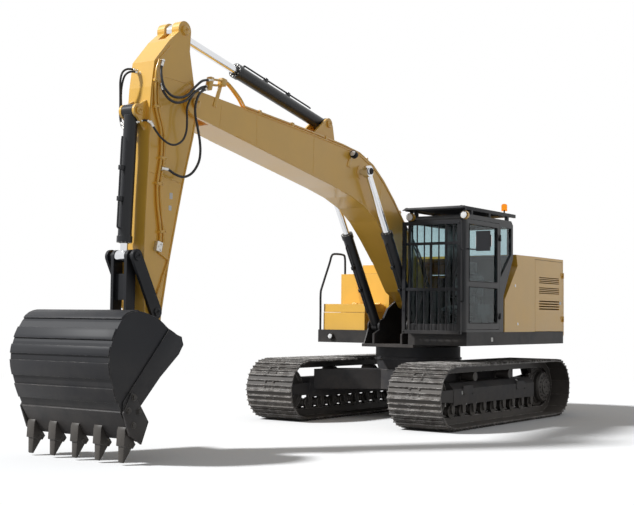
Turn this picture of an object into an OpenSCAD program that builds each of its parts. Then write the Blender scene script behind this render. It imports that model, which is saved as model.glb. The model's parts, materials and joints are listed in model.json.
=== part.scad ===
// Crawler excavator of the 22 tonne class, with a bucket on a one-piece boom.
// X points forwards, Y to the left and Z up, in millimetres. The origin is on
// the ground under the swing axis, and the pose is the parked one: boom half
// up, arm nearly upright, bucket opened forwards with its teeth by the ground.

/* [Undercarriage] */
// Distance between the middles of the two tracks
track_gauge = 2382; // [2100:10:2600]
// Distance between the idler's and the sprocket's centres
wheel_base = 3387; // [3000:10:3700]
// Distance of the tracks' middle ahead of the swing axis
track_shift = 70; // [0:5:150]
// Width of one track shoe
shoe_w = 800; // [500:10:900]
// Number of shoes in one track
shoe_count = 47; // [40:1:54]
// Radius of the chain's pin line round the idler and the sprocket
chain_r = 350; // [320:1:380]
// Height of a grouser over its shoe
grouser_h = 26; // [16:1:34]
// Number of bottom rollers under each side frame
roller_count = 9; // [6:1:9]
// Radius of a bottom roller's tread
roller_r = 80; // [60:1:84]
// Radius of a carrier roller's tread
carrier_r = 65; // [50:1:68]
// Height of the side frame's underside over the ground
side_frame_z = 310; // [306:1:340]
// Height of the side frame
side_frame_h = 290; // [240:5:294]
// Width of the side frame
side_frame_w = 310; // [290:5:330]

/* [Upper structure] */
// Height of the deck's lower edge over the ground
deck_z = 1106; // [1100:1:1150]
// Height of the deck's side beams
deck_h = 190; // [150:5:240]
// Half width of the upper structure
upper_half_w = 1370; // [1300:5:1400]
// Swing radius of the counterweight
tail_r = 2700; // [2600:10:2900]
// Distance of the counterweight's front face behind the swing axis
tail_x = 2300; // [2200:10:2400]
// Height of the counterweight's top over the ground
tail_z = 2230; // [2000:10:2300]
// Height of the engine cover's top over the ground
hood_z = 2455; // [2400:5:2500]
// Thickness of the covers and doors round the engine
cover_t = 30; // [20:1:40]

/* [Cab] */
// Distance of the cab's right wall from the middle
cab_y = 440; // [430:1:470]
// Distance of the cab's front ahead of the swing axis
cab_x = 1130; // [1050:5:1180]
// Distance of the cab's upper rear edge behind the swing axis
cab_rear = 430; // [400:5:470]
// Height of the cab's roof over the ground
cab_top = 2940; // [2850:5:2980]
// Thickness of the cab's walls and door
cab_wall = 50; // [40:1:60]
// Length of the cab door
door_w = 995; // [900:5:1000]
// Thickness of a window pane
glass_t = 6; // [4:1:10]

/* [Boom] */
// Length of the boom between its foot pin and the arm pin
boom_length = 5705; // [5600:5:5800]
// Slope of the line from the foot pin to the arm pin
boom_angle = 21.7; // [15:0.1:30]
// Width of the boom over its side plates
boom_w = 430; // [400:5:440]
// Thickness of the boom's and the arm's plates
plate_t = 12; // [8:1:20]

/* [Arm] */
// Length of the arm between its pivot and the bucket pin
arm_length = 2852; // [2800:2:2900]
// Slope of the line from the arm pivot to the bucket pin
arm_angle = -78.06; // [-84:0.02:-72]
// Width of the arm over its side plates
arm_w = 330; // [300:5:340]

/* [Bucket] */
// Distance between the bucket pin and the teeth's tips
bucket_radius = 1436; // [1400:2:1440]
// Slope of the line from the bucket pin to the teeth's tips
bucket_angle = -49.1; // [-52:0.1:-46]
// Width of the bucket over its side plates
bucket_w = 1440; // [1200:10:1500]
// Thickness of the bucket's shell and side plates
bucket_t = 25; // [16:1:35]
// Number of teeth
tooth_count = 5; // [4:1:6]

/* [Cylinders] */
// Outer radius of the boom cylinders' barrels
boom_barrel_r = 75; // [65:1:78]
// Radius of the boom cylinders' rods
boom_rod_r = 45; // [35:1:50]
// Distance of each boom cylinder from the middle
boom_cylinder_y = 335; // [330:1:340]
// Outer radius of the arm cylinder's barrel
arm_barrel_r = 84; // [75:1:90]
// Radius of the arm cylinder's rod
arm_rod_r = 50; // [40:1:55]
// Outer radius of the bucket cylinder's barrel
bucket_barrel_r = 75; // [65:1:80]
// Radius of the bucket cylinder's rod
bucket_rod_r = 42; // [35:1:46]

/* [Hidden] */
$fn = 48;

// Colours of the real finishes
body_yellow = "goldenrod";
frame_black = "dimgray";
dark_black = "#2b2b2b";
rod_chrome = "silver";
pane_tint = "lightcyan";

// Clearances: a seat is a piece resting on another, a pivot is a cheek beside an eye
seat = 0.3;
pivot_gap = 6;
pin_fit = 0.1;
door_gap = 6;

// Points and outlines of side views are [x, z]
function turned(p, a) = [p.x * cos(a) - p.y * sin(a), p.x * sin(a) + p.y * cos(a)];
function placed(o, a, p) = o + turned(p, a);
function arc_points(c, r, a0, a1, n) = [for (i = [0:n]) c + r * [cos(a0 + (a1 - a0) * i / n), sin(a0 + (a1 - a0) * i / n)]];
function angle_of(v) = atan2(v.y, v.x);
function unit(v) = v / norm(v);

// Box between two corners given as ranges
module block(x, y, z) {
    translate([x[0], y[0], z[0]]) cube([x[1] - x[0], y[1] - y[0], z[1] - z[0]]);
}

// Plate of a side outline between two distances from the middle
module slab(y0, y1) {
    translate([0, y1, 0]) rotate([90, 0, 0]) linear_extrude(y1 - y0) children();
}

// Round bar along Y through a side-view point
module bar(p, r, y0, y1) {
    translate([p.x, y0, p.y]) rotate([-90, 0, 0]) cylinder(r = r, h = y1 - y0);
}

// Draws children in the frame of a member that starts at o and slopes by a
module member(o, a) {
    translate([o.x, 0, o.y]) rotate([0, -a, 0]) children();
}

// Hinge in its own frame: the pin stands along Z, the hinged edge lies towards +X and the face at -Y
hinge_up = 16;
hinge_r = 10;
hinge_pin_r = 6;
knuckle_h = 45;
leaf_clear = 3;
module fixed_leaf(reach) {
    cylinder(r = hinge_r, h = knuckle_h, $fn = 24);
    cylinder(r = hinge_pin_r, h = 2 * knuckle_h, $fn = 24);
    block([-reach, 0], [-hinge_up - 1, -hinge_up + 9], [0, knuckle_h]);
    block([-hinge_r * 0.6, hinge_r * 0.6], [-hinge_up, 0], [0, knuckle_h]);
}
module moving_leaf(gap_x, reach) {
    difference() {
        union() {
            cylinder(r = hinge_r, h = knuckle_h - seat, $fn = 24);
            block([-hinge_r * 0.6, hinge_r * 0.6], [-hinge_up + leaf_clear, 0], [0, knuckle_h - seat]);
            block([-hinge_r * 0.6, reach], [-hinge_up + leaf_clear, -hinge_up + 9], [0, knuckle_h - seat]);
            block([gap_x, reach], [-hinge_up - 1, -hinge_up + 9], [0, knuckle_h - seat]);
        }
        translate([0, 0, -1]) cylinder(r = hinge_pin_r + pin_fit, h = knuckle_h + 2, $fn = 24);
    }
}

module both_sides() {
    children();
    mirror([0, 1, 0]) children();
}

// Swept round tube along a smooth route of points
function blend_point(a, b, c, d, t) = 0.5 * (2 * b + (c - a) * t + (2 * a - 5 * b + 4 * c - d) * t * t + (3 * b - a - 3 * c + d) * t * t * t);
function smooth_route(p, n) = let (m = len(p) - 1) [
    for (i = [0:m - 1], k = [0:n - 1]) blend_point(p[max(i - 1, 0)], p[i], p[i + 1], p[min(i + 2, m)], k / n), p[m]];
module tube(route, r, ref, sides = 8) {
    n = len(route);
    rings = [for (i = [0:n - 1]) let (
        t = unit(route[min(i + 1, n - 1)] - route[max(i - 1, 0)]),
        a = unit(cross(t, ref)),
        b = cross(a, t)) [for (k = [0:sides - 1]) route[i] + r * (cos(360 * k / sides) * a + sin(360 * k / sides) * b)]];
    polyhedron(
        points = [for (ring = rings) each ring],
        faces = concat(
            [[for (k = [sides - 1:-1:0]) k]],
            [[for (k = [0:sides - 1]) (n - 1) * sides + k]],
            [for (i = [0:n - 2], k = [0:sides - 1]) let (k2 = (k + 1) % sides)
                [i * sides + k, i * sides + k2, (i + 1) * sides + k2, (i + 1) * sides + k]]));
}

// Undercarriage
half_gauge = track_gauge / 2;
link_half = 52;
plate_h = 12;
track_r = chain_r + link_half + plate_h + grouser_h;
wheel_z = track_r;
loop_length = 2 * wheel_base + 2 * PI * chain_r;
shoe_pitch = loop_length / shoe_count;
rail_in = 50;
rail_out = 95;
rail_r = chain_r - link_half;

// Place and heading of the chain's pin line after a run of s, from the top's rear end
function loop_place(s) = let (
    turn = PI * chain_r,
    u = s % loop_length) u < wheel_base ? [-wheel_base / 2 + u, chain_r, 0]
    : u < wheel_base + turn ? let (a = (u - wheel_base) / chain_r * 180 / PI) [wheel_base / 2 + chain_r * sin(a), chain_r * cos(a), -a]
    : u < 2 * wheel_base + turn ? [wheel_base / 2 - (u - wheel_base - turn), -chain_r, -180]
    : let (a = (u - 2 * wheel_base - turn) / chain_r * 180 / PI) [-wheel_base / 2 - chain_r * sin(a), -chain_r * cos(a), -180 - a];
function pin_place(i) = loop_place((i + 0.5) * shoe_pitch);

// One shoe's outer outline from pin to pin, as [along, out], with three grousers
shoe_half = shoe_pitch / 2;
shoe_face = link_half + plate_h;
grouser_root = 8;
grouser_tip = 4;
grouser_x = [-shoe_half + 20, 0, shoe_half - 20];
shoe_outline = concat(
    [[-shoe_half + 2, shoe_face]],
    [for (g = grouser_x) each [
        [g - grouser_root, shoe_face], [g - grouser_tip, shoe_face + grouser_h],
        [g + grouser_tip, shoe_face + grouser_h], [g + grouser_root, shoe_face]]],
    [[shoe_half - 2, shoe_face]]);
function shoe_points(i) = let (
    a = pin_place(i),
    b = pin_place(i + 1),
    pa = [a.x, a.y],
    pb = [b.x, b.y],
    m = (pa + pb) / 2,
    h = angle_of(pb - pa)) concat(
        [let (heading = a[2]) pa + turned([0, shoe_face - 10], heading)],
        [for (q = shoe_outline) placed(m, h, q)]);
shoe_outer = [for (i = [0:shoe_count - 1]) each shoe_points(i)];
chain_outer = [for (i = [0:shoe_count - 1]) let (a = pin_place(i)) [a.x, a.y] + turned([0, link_half - 4], a[2])];

module stadium(r) {
    union() {
        for (s = [-1, 1]) translate([s * wheel_base / 2, 0]) circle(r = r);
        square([wheel_base, 2 * r], center = true);
    }
}

// A track is one closed loop: shoes across its width on two rails of links
module track_loop() {
    slab(-shoe_w / 2, shoe_w / 2) difference() {
        polygon(shoe_outer);
        polygon(chain_outer);
    }
    for (y = [[-rail_out, -rail_in], [rail_in, rail_out]])
        slab(y[0], y[1]) difference() {
            polygon(chain_outer);
            stadium(rail_r);
        }
}
module at_track(side) {
    translate([track_shift, side * half_gauge, wheel_z]) children();
}
module left_track() {
    color(dark_black) at_track(1) track_loop();
}
module right_track() {
    color(dark_black) at_track(-1) track_loop();
}

// Side frame: a box beam with a sloped outer shoulder, idler yokes and a drive plate
beam_half_l = wheel_base / 2 - 400;
side_half = side_frame_w / 2;
yoke_in = 112;
yoke_out = 148;
shoulder = 80;
drive_ring_r = 250;
module side_frame_body() {
    z0 = side_frame_z - wheel_z;
    z1 = z0 + side_frame_h;
    difference() {
        translate([-beam_half_l, 0, 0]) rotate([90, 0, 90]) linear_extrude(2 * beam_half_l)
            polygon([[-side_half, z0], [side_half, z0], [side_half, z1 - shoulder], [side_half - shoulder, z1], [-side_half, z1]]);
        translate([-beam_half_l - 1, 0, 0]) rotate([90, 0, 90]) linear_extrude(2 * beam_half_l + 2)
            polygon([[-side_half + 20, z0 - 1], [side_half - 20, z0 - 1], [side_half - 20, z0 + 30], [-side_half + 20, z0 + 30]]);
    }
    for (y = [[-yoke_out, -yoke_in], [yoke_in, yoke_out]])
        slab(y[0], y[1]) polygon([
            [beam_half_l - 60, z0 + 30], [wheel_base / 2 - 30, -75], each arc_points([wheel_base / 2, 0], 75, -90, 90, 8),
            [wheel_base / 2 - 30, 75], [beam_half_l - 60, z1 - shoulder]]);
    slab(-yoke_out, -yoke_in) union() {
        polygon([[-beam_half_l + 60, z0 + 30], [-beam_half_l - 40, z0 + 30], [-wheel_base / 2, -drive_ring_r * 0.8], [-wheel_base / 2, drive_ring_r * 0.8],
            [-beam_half_l + 60, z1]]);
        translate([-wheel_base / 2, 0]) circle(r = drive_ring_r);
    }
}
module left_side_frame() {
    color(frame_black) at_track(1) side_frame_body();
}
module right_side_frame() {
    color(frame_black) at_track(-1) mirror([0, 1, 0]) side_frame_body();
}

// Idler wheels with the guide flange that runs between the two rails
idler_flange = 18;
module idler_wheel() {
    translate([wheel_base / 2, 0, 0]) rotate([90, 0, 0]) rotate_extrude() polygon([
        [0, -yoke_in + seat], [45, -yoke_in + seat], [45, -100], [120, -100], [150, -60], [rail_r - 40, -60], [rail_r - seat, -rail_out],
        [rail_r - seat, -rail_in + 8], [rail_r + idler_flange, -rail_in + 14], [rail_r + idler_flange, rail_in - 14],
        [rail_r - seat, rail_in - 8], [rail_r - seat, rail_out], [rail_r - 40, 60], [150, 60], [120, 100], [45, 100],
        [45, yoke_in - seat], [0, yoke_in - seat]]);
}
module idlers() {
    color(frame_black) for (side = [-1, 1]) at_track(side) idler_wheel();
}

// Sprockets: teeth between the rails, on the final drive's housing
tooth_gap_r = chain_r - 30;
tooth_tip_r = chain_r + 14;
sprocket_teeth = 21;
sprocket_t = 60;
module sprocket_wheel() {
    step = 360 / sprocket_teeth;
    slab(-sprocket_t / 2, sprocket_t / 2) translate([-wheel_base / 2, 0]) polygon([
        for (i = [0:sprocket_teeth - 1]) each [
            tooth_gap_r * [cos((i - 0.3) * step), sin((i - 0.3) * step)], tooth_tip_r * [cos((i - 0.12) * step), sin((i - 0.12) * step)],
            tooth_tip_r * [cos((i + 0.12) * step), sin((i + 0.12) * step)], tooth_gap_r * [cos((i + 0.3) * step), sin((i + 0.3) * step)]]]);
    translate([-wheel_base / 2, 0, 0]) rotate([90, 0, 0]) rotate_extrude() polygon([
        [0, yoke_in - seat], [215, yoke_in - seat], [225, 90], [265, 40], [265, -40], [235, -60], [235, -120], [215, -150],
        [130, -165], [120, -185], [0, -185]]);
}
module sprockets() {
    color(frame_black) {
        at_track(1) sprocket_wheel();
        at_track(-1) mirror([0, 1, 0]) sprocket_wheel();
    }
}

// Bottom rollers hang under the beam on end collars; carrier rollers stand on posts
roller_span = wheel_base - 2 * 433;
roller_z = -rail_r + seat + roller_r;
carrier_z = rail_r - seat - carrier_r;
collar_in = 112;
collar_out = 135;
module roller_set() {
    z0 = side_frame_z - wheel_z;
    for (i = [0:roller_count - 1]) translate([-roller_span / 2 + i * roller_span / (roller_count - 1), 0, roller_z]) {
        rotate([90, 0, 0]) rotate_extrude() polygon([
            [0, -collar_in - 2], [30, -collar_in - 2], [30, -106], [roller_r + 14, -106], [roller_r + 14, -98], [roller_r, -96], [roller_r, -50],
            [60, -40], [60, 40], [roller_r, 50], [roller_r, 96], [roller_r + 14, 98], [roller_r + 14, 106], [30, 106],
            [30, collar_in + 2], [0, collar_in + 2]]);
        for (s = [-1, 1]) slab(s > 0 ? collar_in : -collar_out, s > 0 ? collar_out : -collar_in)
            polygon([[-50, z0 + 30 - seat - roller_z], each arc_points([0, 0], 38, 180, 360, 10), [50, z0 + 30 - seat - roller_z]]);
    }
    for (x = [-560, 560]) translate([x, 0, carrier_z]) {
        rotate([90, 0, 0]) rotate_extrude() polygon([
            [0, -106], [carrier_r, -106], [carrier_r, 104], [30, 104], [30, 114], [0, 114]]);
        slab(-138, -113) polygon([[-45, z0 + side_frame_h + seat - carrier_z], [45, z0 + side_frame_h + seat - carrier_z],
            each arc_points([0, 0], 38, 0, 180, 10)]);
    }
}
module left_rollers() {
    color(dark_black) at_track(1) roller_set();
}
module right_rollers() {
    color(dark_black) at_track(-1) mirror([0, 1, 0]) roller_set();
}

// Carbody: a tub under the bearing with four legs to the side frames
tub_z = 430;
leg_h = 290;
bearing_z = 900;
bearing_r = 640;
leg_end = half_gauge - side_half - seat;
tow_lug_t = 50;
tow_hole_r = 32;
tow_lug_r = 75;
tow_x = 690;
tow_z = 540;
module carbody() {
    color(frame_black) {
        translate([0, 0, tub_z]) linear_extrude(leg_h) union() {
            polygon([[-620, -330], [-330, -620], [330, -620], [620, -330], [620, 330], [330, 620], [-330, 620], [-620, 330]]);
            for (s = [-1, 1]) {
                polygon([[150, s * 500], [600, s * 250], [1200 + track_shift, s * leg_end], [650 + track_shift, s * leg_end]]);
                polygon([[-150, s * 500], [-600, s * 250], [-1200 + track_shift, s * leg_end], [-650 + track_shift, s * leg_end]]);
            }
        }
        translate([0, 0, tub_z + leg_h]) cylinder(r1 = 600, r2 = bearing_r, h = bearing_z - tub_z - leg_h - 30, $fn = 64);
        translate([0, 0, bearing_z - 30]) cylinder(r = bearing_r + 20, h = 30, $fn = 64);
        for (s = [-1, 1]) translate([0, 0, tow_z - tow_lug_t / 2]) linear_extrude(tow_lug_t) difference() {
            union() {
                polygon([[s * 600, -160], [s * tow_x, -tow_lug_r], [s * tow_x, tow_lug_r], [s * 600, 160]]);
                translate([s * tow_x, 0]) circle(r = tow_lug_r);
            }
            translate([s * tow_x, 0]) circle(r = tow_hole_r);
        }
    }
}

// Swing bearing's outer ring
upper_z = 1060;
module swing_bearing() {
    color(frame_black) translate([0, 0, bearing_z + seat]) difference() {
        cylinder(r = bearing_r, h = upper_z - bearing_z - 2 * seat, $fn = 64);
        translate([0, 0, -1]) cylinder(r = bearing_r - 110, h = upper_z - bearing_z + 2, $fn = 64);
    }
}

// Pins of the working equipment, worked out at the parked pose
boom_foot = [150, 1790];
boom_tip = placed(boom_foot, boom_angle, [boom_length, 0]);
bucket_pin = placed(boom_tip, arm_angle, [arm_length, 0]);
lift_base = [660, 1360];
lift_eye_local = [2340, 900];
lift_eye = placed(boom_foot, boom_angle, lift_eye_local);
crowd_base_local = [3149, 1205];
crowd_base = placed(boom_foot, boom_angle, crowd_base_local);
crowd_eye_local = [-766, 310];
crowd_eye = placed(boom_tip, arm_angle, crowd_eye_local);
curl_base_local = [363, 751];
curl_base = placed(boom_tip, arm_angle, curl_base_local);
rocker_pin_local = [arm_length - 406, 62];
rocker_pin = placed(boom_tip, arm_angle, rocker_pin_local);
rocker_pin_r = 40;
rocker_length = 672;
rocker_angle = 62;
knuckle = placed(rocker_pin, rocker_angle, [rocker_length, 0]);
link_pin_local = [-67, 449];
link_pin = placed(bucket_pin, bucket_angle, link_pin_local);

// Upper frame
deck_top = deck_z + deck_h;
web_in = boom_w / 2 + pivot_gap;
web_t = 32;
web_out = web_in + web_t;
foot_pin_r = 50;
bracket_in = boom_cylinder_y + 81;
bracket_out = bracket_in + 20;
deck_in = bracket_out;
left_front = cab_x - 90;
right_front = 696;
skirt_t = 15;
deck_rear = -tail_x + seat;
module deck_side(front) {
    difference() {
        block([deck_rear, front], [deck_in, upper_half_w], [deck_z, deck_top]);
        for (x = [[deck_rear + skirt_t, -1180], [-1160, -320], [-300, front - skirt_t]])
            block(x, [deck_in + skirt_t, upper_half_w - skirt_t], [deck_z - 1, deck_top - skirt_t]);
    }
}
module revolving_frame() {
    color(frame_black) {
        deck_side(left_front);
        mirror([0, 1, 0]) deck_side(right_front);
        block([deck_rear, 900], [-deck_in - 1, deck_in + 1], [upper_z, upper_z + 46]);
        both_sides() {
            slab(web_in, web_out) polygon([
                [deck_rear, upper_z + 40], [900, upper_z + 40], [900, 1250], each arc_points(lift_base, 105, -30, 100, 10),
                [520, 1620], each arc_points(boom_foot, 150, -20, 170, 14), [-160, 1500], [-900, 1296], [deck_rear, 1296]]);
            slab(bracket_in, bracket_out) polygon([
                [430, upper_z + 40], [860, upper_z + 40], each arc_points(lift_base, 95, -20, 160, 12), [430, 1200]]);
            bar(lift_base, 42, web_out - 1, bracket_in + 1);
        }
        bar(boom_foot, foot_pin_r, -web_in - 1, web_in + 1);
    }
}

// Counterweight: the tail's arc about the swing axis with a bevelled lower edge
lift_eye_x = 2470;
lift_eye_y = 520;
lift_eye_t = 40;
lift_hole_r = 28;
lift_hole_up = 62;
module counterweight() {
    color(body_yellow) {
        difference() {
            intersection() {
                translate([0, 0, deck_z]) rotate_extrude($fn = 128) polygon([
                    [0, 0], [tail_r - 110, 0], [tail_r, 140], [tail_r, tail_z - deck_z - 60],
                    [tail_r - 60, tail_z - deck_z], [0, tail_z - deck_z]]);
                block([-tail_r - 10, -tail_x], [-upper_half_w, upper_half_w], [deck_z - 10, tail_z + 10]);
            }
            block([-tail_r - 10, -tail_r + 60], [-260, 260], [deck_z + 200, deck_z + 420]);
        }
        for (s = [-1, 1]) slab(s * lift_eye_y - lift_eye_t / 2, s * lift_eye_y + lift_eye_t / 2) difference() {
            polygon([
                [-lift_eye_x - 90, tail_z - 2], [-lift_eye_x + 90, tail_z - 2],
                each arc_points([-lift_eye_x, tail_z + lift_hole_up], 55, 0, 180, 12)]);
            translate([-lift_eye_x, tail_z + lift_hole_up]) circle(r = lift_hole_r);
        }
    }
}

// Engine's mass at its real place
module engine() {
    color(frame_black) block([-2150, -1450], [-480, 480], [deck_top + seat, 2150]);
}

// Housing: fixed covers round the engine, with the slanted edge behind the cab
bay_front = -1220;
bay_rear = deck_rear + 20;
cover_rear = deck_rear;
post_t = 34;
bay_hinge = [deck_rear + post_t - 7, upper_half_w + hinge_up];
bay_hinge_z = [1450, 2150];
hood_hinge = [bay_front, hood_z + hinge_up];
hood_hinge_y = [-600, 600];
slant_top = [-545, hood_z - 5];
slant_mid = [-590, 2285];
slant_low = [-150, 1765];
sill_z = deck_top + seat;
roof_t = 40;
module housing() {
    color(body_yellow) {
        slab(upper_half_w - cover_t, upper_half_w) polygon([
            [bay_front + door_gap, sill_z], [slant_low.x, sill_z], slant_low, slant_mid, slant_top, [bay_front + door_gap, hood_z]]);
        slab(deck_in, upper_half_w - cover_t) polygon([
            [slant_low.x, sill_z], slant_low, slant_mid, slant_top,
            slant_top + [-cover_t, 0], slant_mid + [-cover_t, 0], slant_low + [-cover_t, -10], [slant_low.x - cover_t, sill_z]]);
        block([bay_front + door_gap, slant_top.x - cover_t], [-440, upper_half_w - cover_t], [hood_z - roof_t, hood_z]);
        block([cover_rear, bay_front + door_gap], [1010, upper_half_w], [hood_z - roof_t, hood_z]);
        block([cover_rear, bay_front + door_gap], [-upper_half_w, -1010], [hood_z - roof_t, hood_z]);
        block([bay_front + door_gap, bay_front + 80], [-upper_half_w, -439], [hood_z - roof_t, hood_z]);
        both_sides() {
            block([cover_rear, cover_rear + post_t], [upper_half_w - cover_t, upper_half_w], [sill_z, hood_z - roof_t + 1]);
            block([cover_rear, cover_rear + 22], [1010, upper_half_w - cover_t + 1], [tail_z + 10, hood_z - roof_t + 1]);
            for (z = bay_hinge_z) translate([bay_hinge.x, bay_hinge.y, z]) fixed_leaf(24);
        }
        for (y = hood_hinge_y) translate([hood_hinge.x, y, hood_hinge.y]) rotate([90, 0, 0]) mirror([1, 0, 0]) fixed_leaf(40);
    }
}

// Engine hood, hinged at its front edge
hood_rear = cover_rear + 2;
hood_half = 1010 - door_gap;
module engine_hood() {
    color(body_yellow) {
        for (y = hood_hinge_y) translate([hood_hinge.x, y - knuckle_h - seat, hood_hinge.y]) rotate([90, 0, 0]) mirror([1, 0, 0]) moving_leaf(8, 46);
        block([hood_rear, bay_front - door_gap], [-hood_half, hood_half], [hood_z - roof_t, hood_z]);
        block([hood_rear, hood_rear + cover_t], [-hood_half, hood_half], [tail_z + 10, hood_z - roof_t + 1]);
        block([hood_rear + 200, bay_front - 240], [-700, 700], [hood_z - 1, hood_z + 40]);
    }
}

// Side doors of the engine bay, with their grille slots
grille_rows = [[2050, 2160], [1890, 2000], [1640, 1800]];
module bay_door() {
    x0 = cover_rear + post_t + door_gap;
    x1 = bay_front;
    for (z = bay_hinge_z) translate([bay_hinge.x, bay_hinge.y, z + knuckle_h + seat]) moving_leaf(15, 60);
    difference() {
        block([x0, x1], [upper_half_w - cover_t, upper_half_w], [sill_z + door_gap, hood_z - roof_t - door_gap]);
        for (row = grille_rows, k = [0:3])
            block([x0 + 120, x1 - 150], [upper_half_w - cover_t - 1, upper_half_w + 1],
                [row[0] + k * (row[1] - row[0]) / 4, row[0] + (k + 0.5) * (row[1] - row[0]) / 4]);
    }
}
module left_rear_door() {
    color(body_yellow) bay_door();
}
module right_rear_door() {
    color(body_yellow) mirror([0, 1, 0]) bay_door();
}

// Tanks and the storage box on the right side
module fuel_tank() {
    color(body_yellow) block([-560, 70], [-upper_half_w, -480], [deck_top + seat, 2170]);
}
module hydraulic_tank() {
    color(body_yellow) block([-1200, -562], [-upper_half_w, -480], [deck_top + seat, 2340]);
}
box_front = 640;
box_z = 1690;
lid_z = 1560;
box_y = [-upper_half_w + 60, -560];
module storage_box() {
    color(body_yellow) difference() {
        block([80, box_front], box_y, [deck_top + seat, lid_z]);
        block([100, box_front - 20], [box_y[0] + 20, box_y[1] - 20], [deck_top + 20, lid_z + 1]);
    }
    color(body_yellow) for (y = lid_hinge_y) {
        block([lid_hinge.x - 10, lid_hinge.x], [y, y + knuckle_h], [lid_z - 60, lid_hinge.y]);
        translate([lid_hinge.x, y + knuckle_h, lid_hinge.y]) rotate([90, 0, 0]) cylinder(r = hinge_r, h = knuckle_h, $fn = 24);
        translate([lid_hinge.x, y + 2 * knuckle_h, lid_hinge.y]) rotate([90, 0, 0]) cylinder(r = hinge_pin_r, h = 2 * knuckle_h, $fn = 24);
    }
}
lid_front = 634;
lid_rear = 90;
lid_hinge = [85, box_z + hinge_up];
lid_hinge_y = [-1150, -720];
module storage_lid() {
    color(body_yellow) difference() {
        block([lid_rear, lid_front], [box_y[0], box_y[1]], [lid_z + door_gap, box_z]);
        block([lid_rear + 18, lid_front - 18], [box_y[0] + 18, box_y[1] - 18], [lid_z, box_z - 16]);
    }
    color(body_yellow) for (y = lid_hinge_y)
        translate([lid_hinge.x, y + 2 * knuckle_h, lid_hinge.y]) rotate([90, 0, 0]) moving_leaf(lid_rear - lid_hinge.x + 2, 50);
}
handrail_r = 17;
module handrails() {
    color(dark_black) {
        tube(smooth_route([for (p = [[676, deck_top + seat], [676, 1600], [676, 1850], [636, 1960], [440, 2330], [395, 2430],
            [320, 2478], [60, 2478], [10, 2430], [0, 2300], [0, 2170 + seat]]) [p.x, -1345, p.y]], 3), handrail_r, [0, 1, 0]);
    }
}

// Cab
cab_side = [[cab_x, deck_top + seat], [cab_x, cab_top - 60], [cab_x - 60, cab_top - 10], [cab_x - 200, cab_top], [-cab_rear + 60, cab_top],
    [-cab_rear, cab_top - 60], [-cab_rear, 2380], [-110, 1820], [-110, deck_top + seat]];
corner_r = 90;
module cab_plan(grow) {
    translate([0, 0, deck_top]) linear_extrude(cab_top - deck_top + 10) polygon(concat(
        [[-cab_rear - 10, cab_y - grow], [-cab_rear - 10, upper_half_w + grow]],
        arc_points([cab_x - corner_r, upper_half_w - corner_r], corner_r + grow, 90, 0, 8),
        arc_points([cab_x - corner_r, cab_y + corner_r], corner_r + grow, 0, -90, 8)));
}
function inset_side(t) = [[cab_x - t, deck_top + t], [cab_x - t, cab_top - 60 - t], [cab_x - 200, cab_top - t],
    [-cab_rear + t, cab_top - t], [-cab_rear + t, 2380 + 10], [-110 + t, 1820 + 10], [-110 + t, deck_top + t]];
door_x = [cab_x - corner_r - 10 - door_w, cab_x - corner_r - 10];
door_z = [deck_top + 40, cab_top - 70];
sash = 62;
door_panes = [[[door_x[0] + sash, door_x[1] - sash], [2010, door_z[1] - sash]], [[door_x[0] + sash, door_x[1] - sash], [deck_top + 130, 1930]]];
front_pane = [[cab_y + 80, upper_half_w - 80], [deck_top + 110, cab_top - 110]];
right_pane = [[-20, cab_x - 130], [1900, cab_top - 110]];
rear_pane = [[cab_y + 80, upper_half_w - 80], [2430, cab_top - 110]];
quarter_pane = [[-cab_rear + 60, 2440], [-cab_rear + 60, cab_top - 110], [door_x[0] - 50, cab_top - 110], [door_x[0] - 50, 2090]];
door_hinge = [door_x[0] - 13, upper_half_w + hinge_up];
door_hinge_z = [1480, 2620];
module cab_shell() {
    color(dark_black) for (z = door_hinge_z) translate([door_hinge.x, door_hinge.y, z]) fixed_leaf(40);
    color(dark_black) difference() {
        intersection() {
            slab(cab_y, upper_half_w) polygon(cab_side);
            cab_plan(0);
        }
        intersection() {
            slab(cab_y + cab_wall, upper_half_w - cab_wall) polygon(inset_side(cab_wall));
            cab_plan(-cab_wall);
        }
        block([door_x[0] - door_gap, door_x[1] + door_gap], [upper_half_w - cab_wall - 5, upper_half_w + 5],
            [door_z[0] - door_gap, door_z[1] + door_gap]);
        block([cab_x - 100, cab_x + 10], front_pane[0], front_pane[1]);
        block(right_pane[0], [cab_y - 5, cab_y + cab_wall + 5], right_pane[1]);
        block([-cab_rear - 5, -cab_rear + cab_wall + 5], rear_pane[0], rear_pane[1]);
        slab(upper_half_w - cab_wall - 5, upper_half_w + 5) polygon(quarter_pane);
    }
}
module pane(x, y, z) {
    block([x[0] + seat, x[1] - seat], [y[0] + seat, y[1] - seat], [z[0] + seat, z[1] - seat]);
}
module cab_glass() {
    mid = 2140;
    color(pane_tint, 0.4) {
        pane([cab_x - 20 - glass_t, cab_x - 20], front_pane[0], [front_pane[1][0], mid]);
        pane([cab_x - 20 - glass_t, cab_x - 20], front_pane[0], [mid, front_pane[1][1]]);
        pane(right_pane[0], [cab_y + 20, cab_y + 20 + glass_t], right_pane[1]);
        pane([-cab_rear + 20, -cab_rear + 20 + glass_t], rear_pane[0], rear_pane[1]);
        slab(upper_half_w - 20 - glass_t, upper_half_w - 20) polygon([
            quarter_pane[0] + [seat, seat], quarter_pane[1] + [seat, -seat], quarter_pane[2] + [-seat, -seat], quarter_pane[3] + [-seat, 2 * seat]]);
    }
}
module cab_door() {
    color(dark_black) for (z = door_hinge_z) translate([door_hinge.x, door_hinge.y, z + knuckle_h + seat]) moving_leaf(15, 60);
    color(dark_black) difference() {
        block(door_x, [upper_half_w - cab_wall, upper_half_w], door_z);
        for (p = door_panes) block(p[0], [upper_half_w - cab_wall - 5, upper_half_w + 5], p[1]);
    }
}
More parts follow.
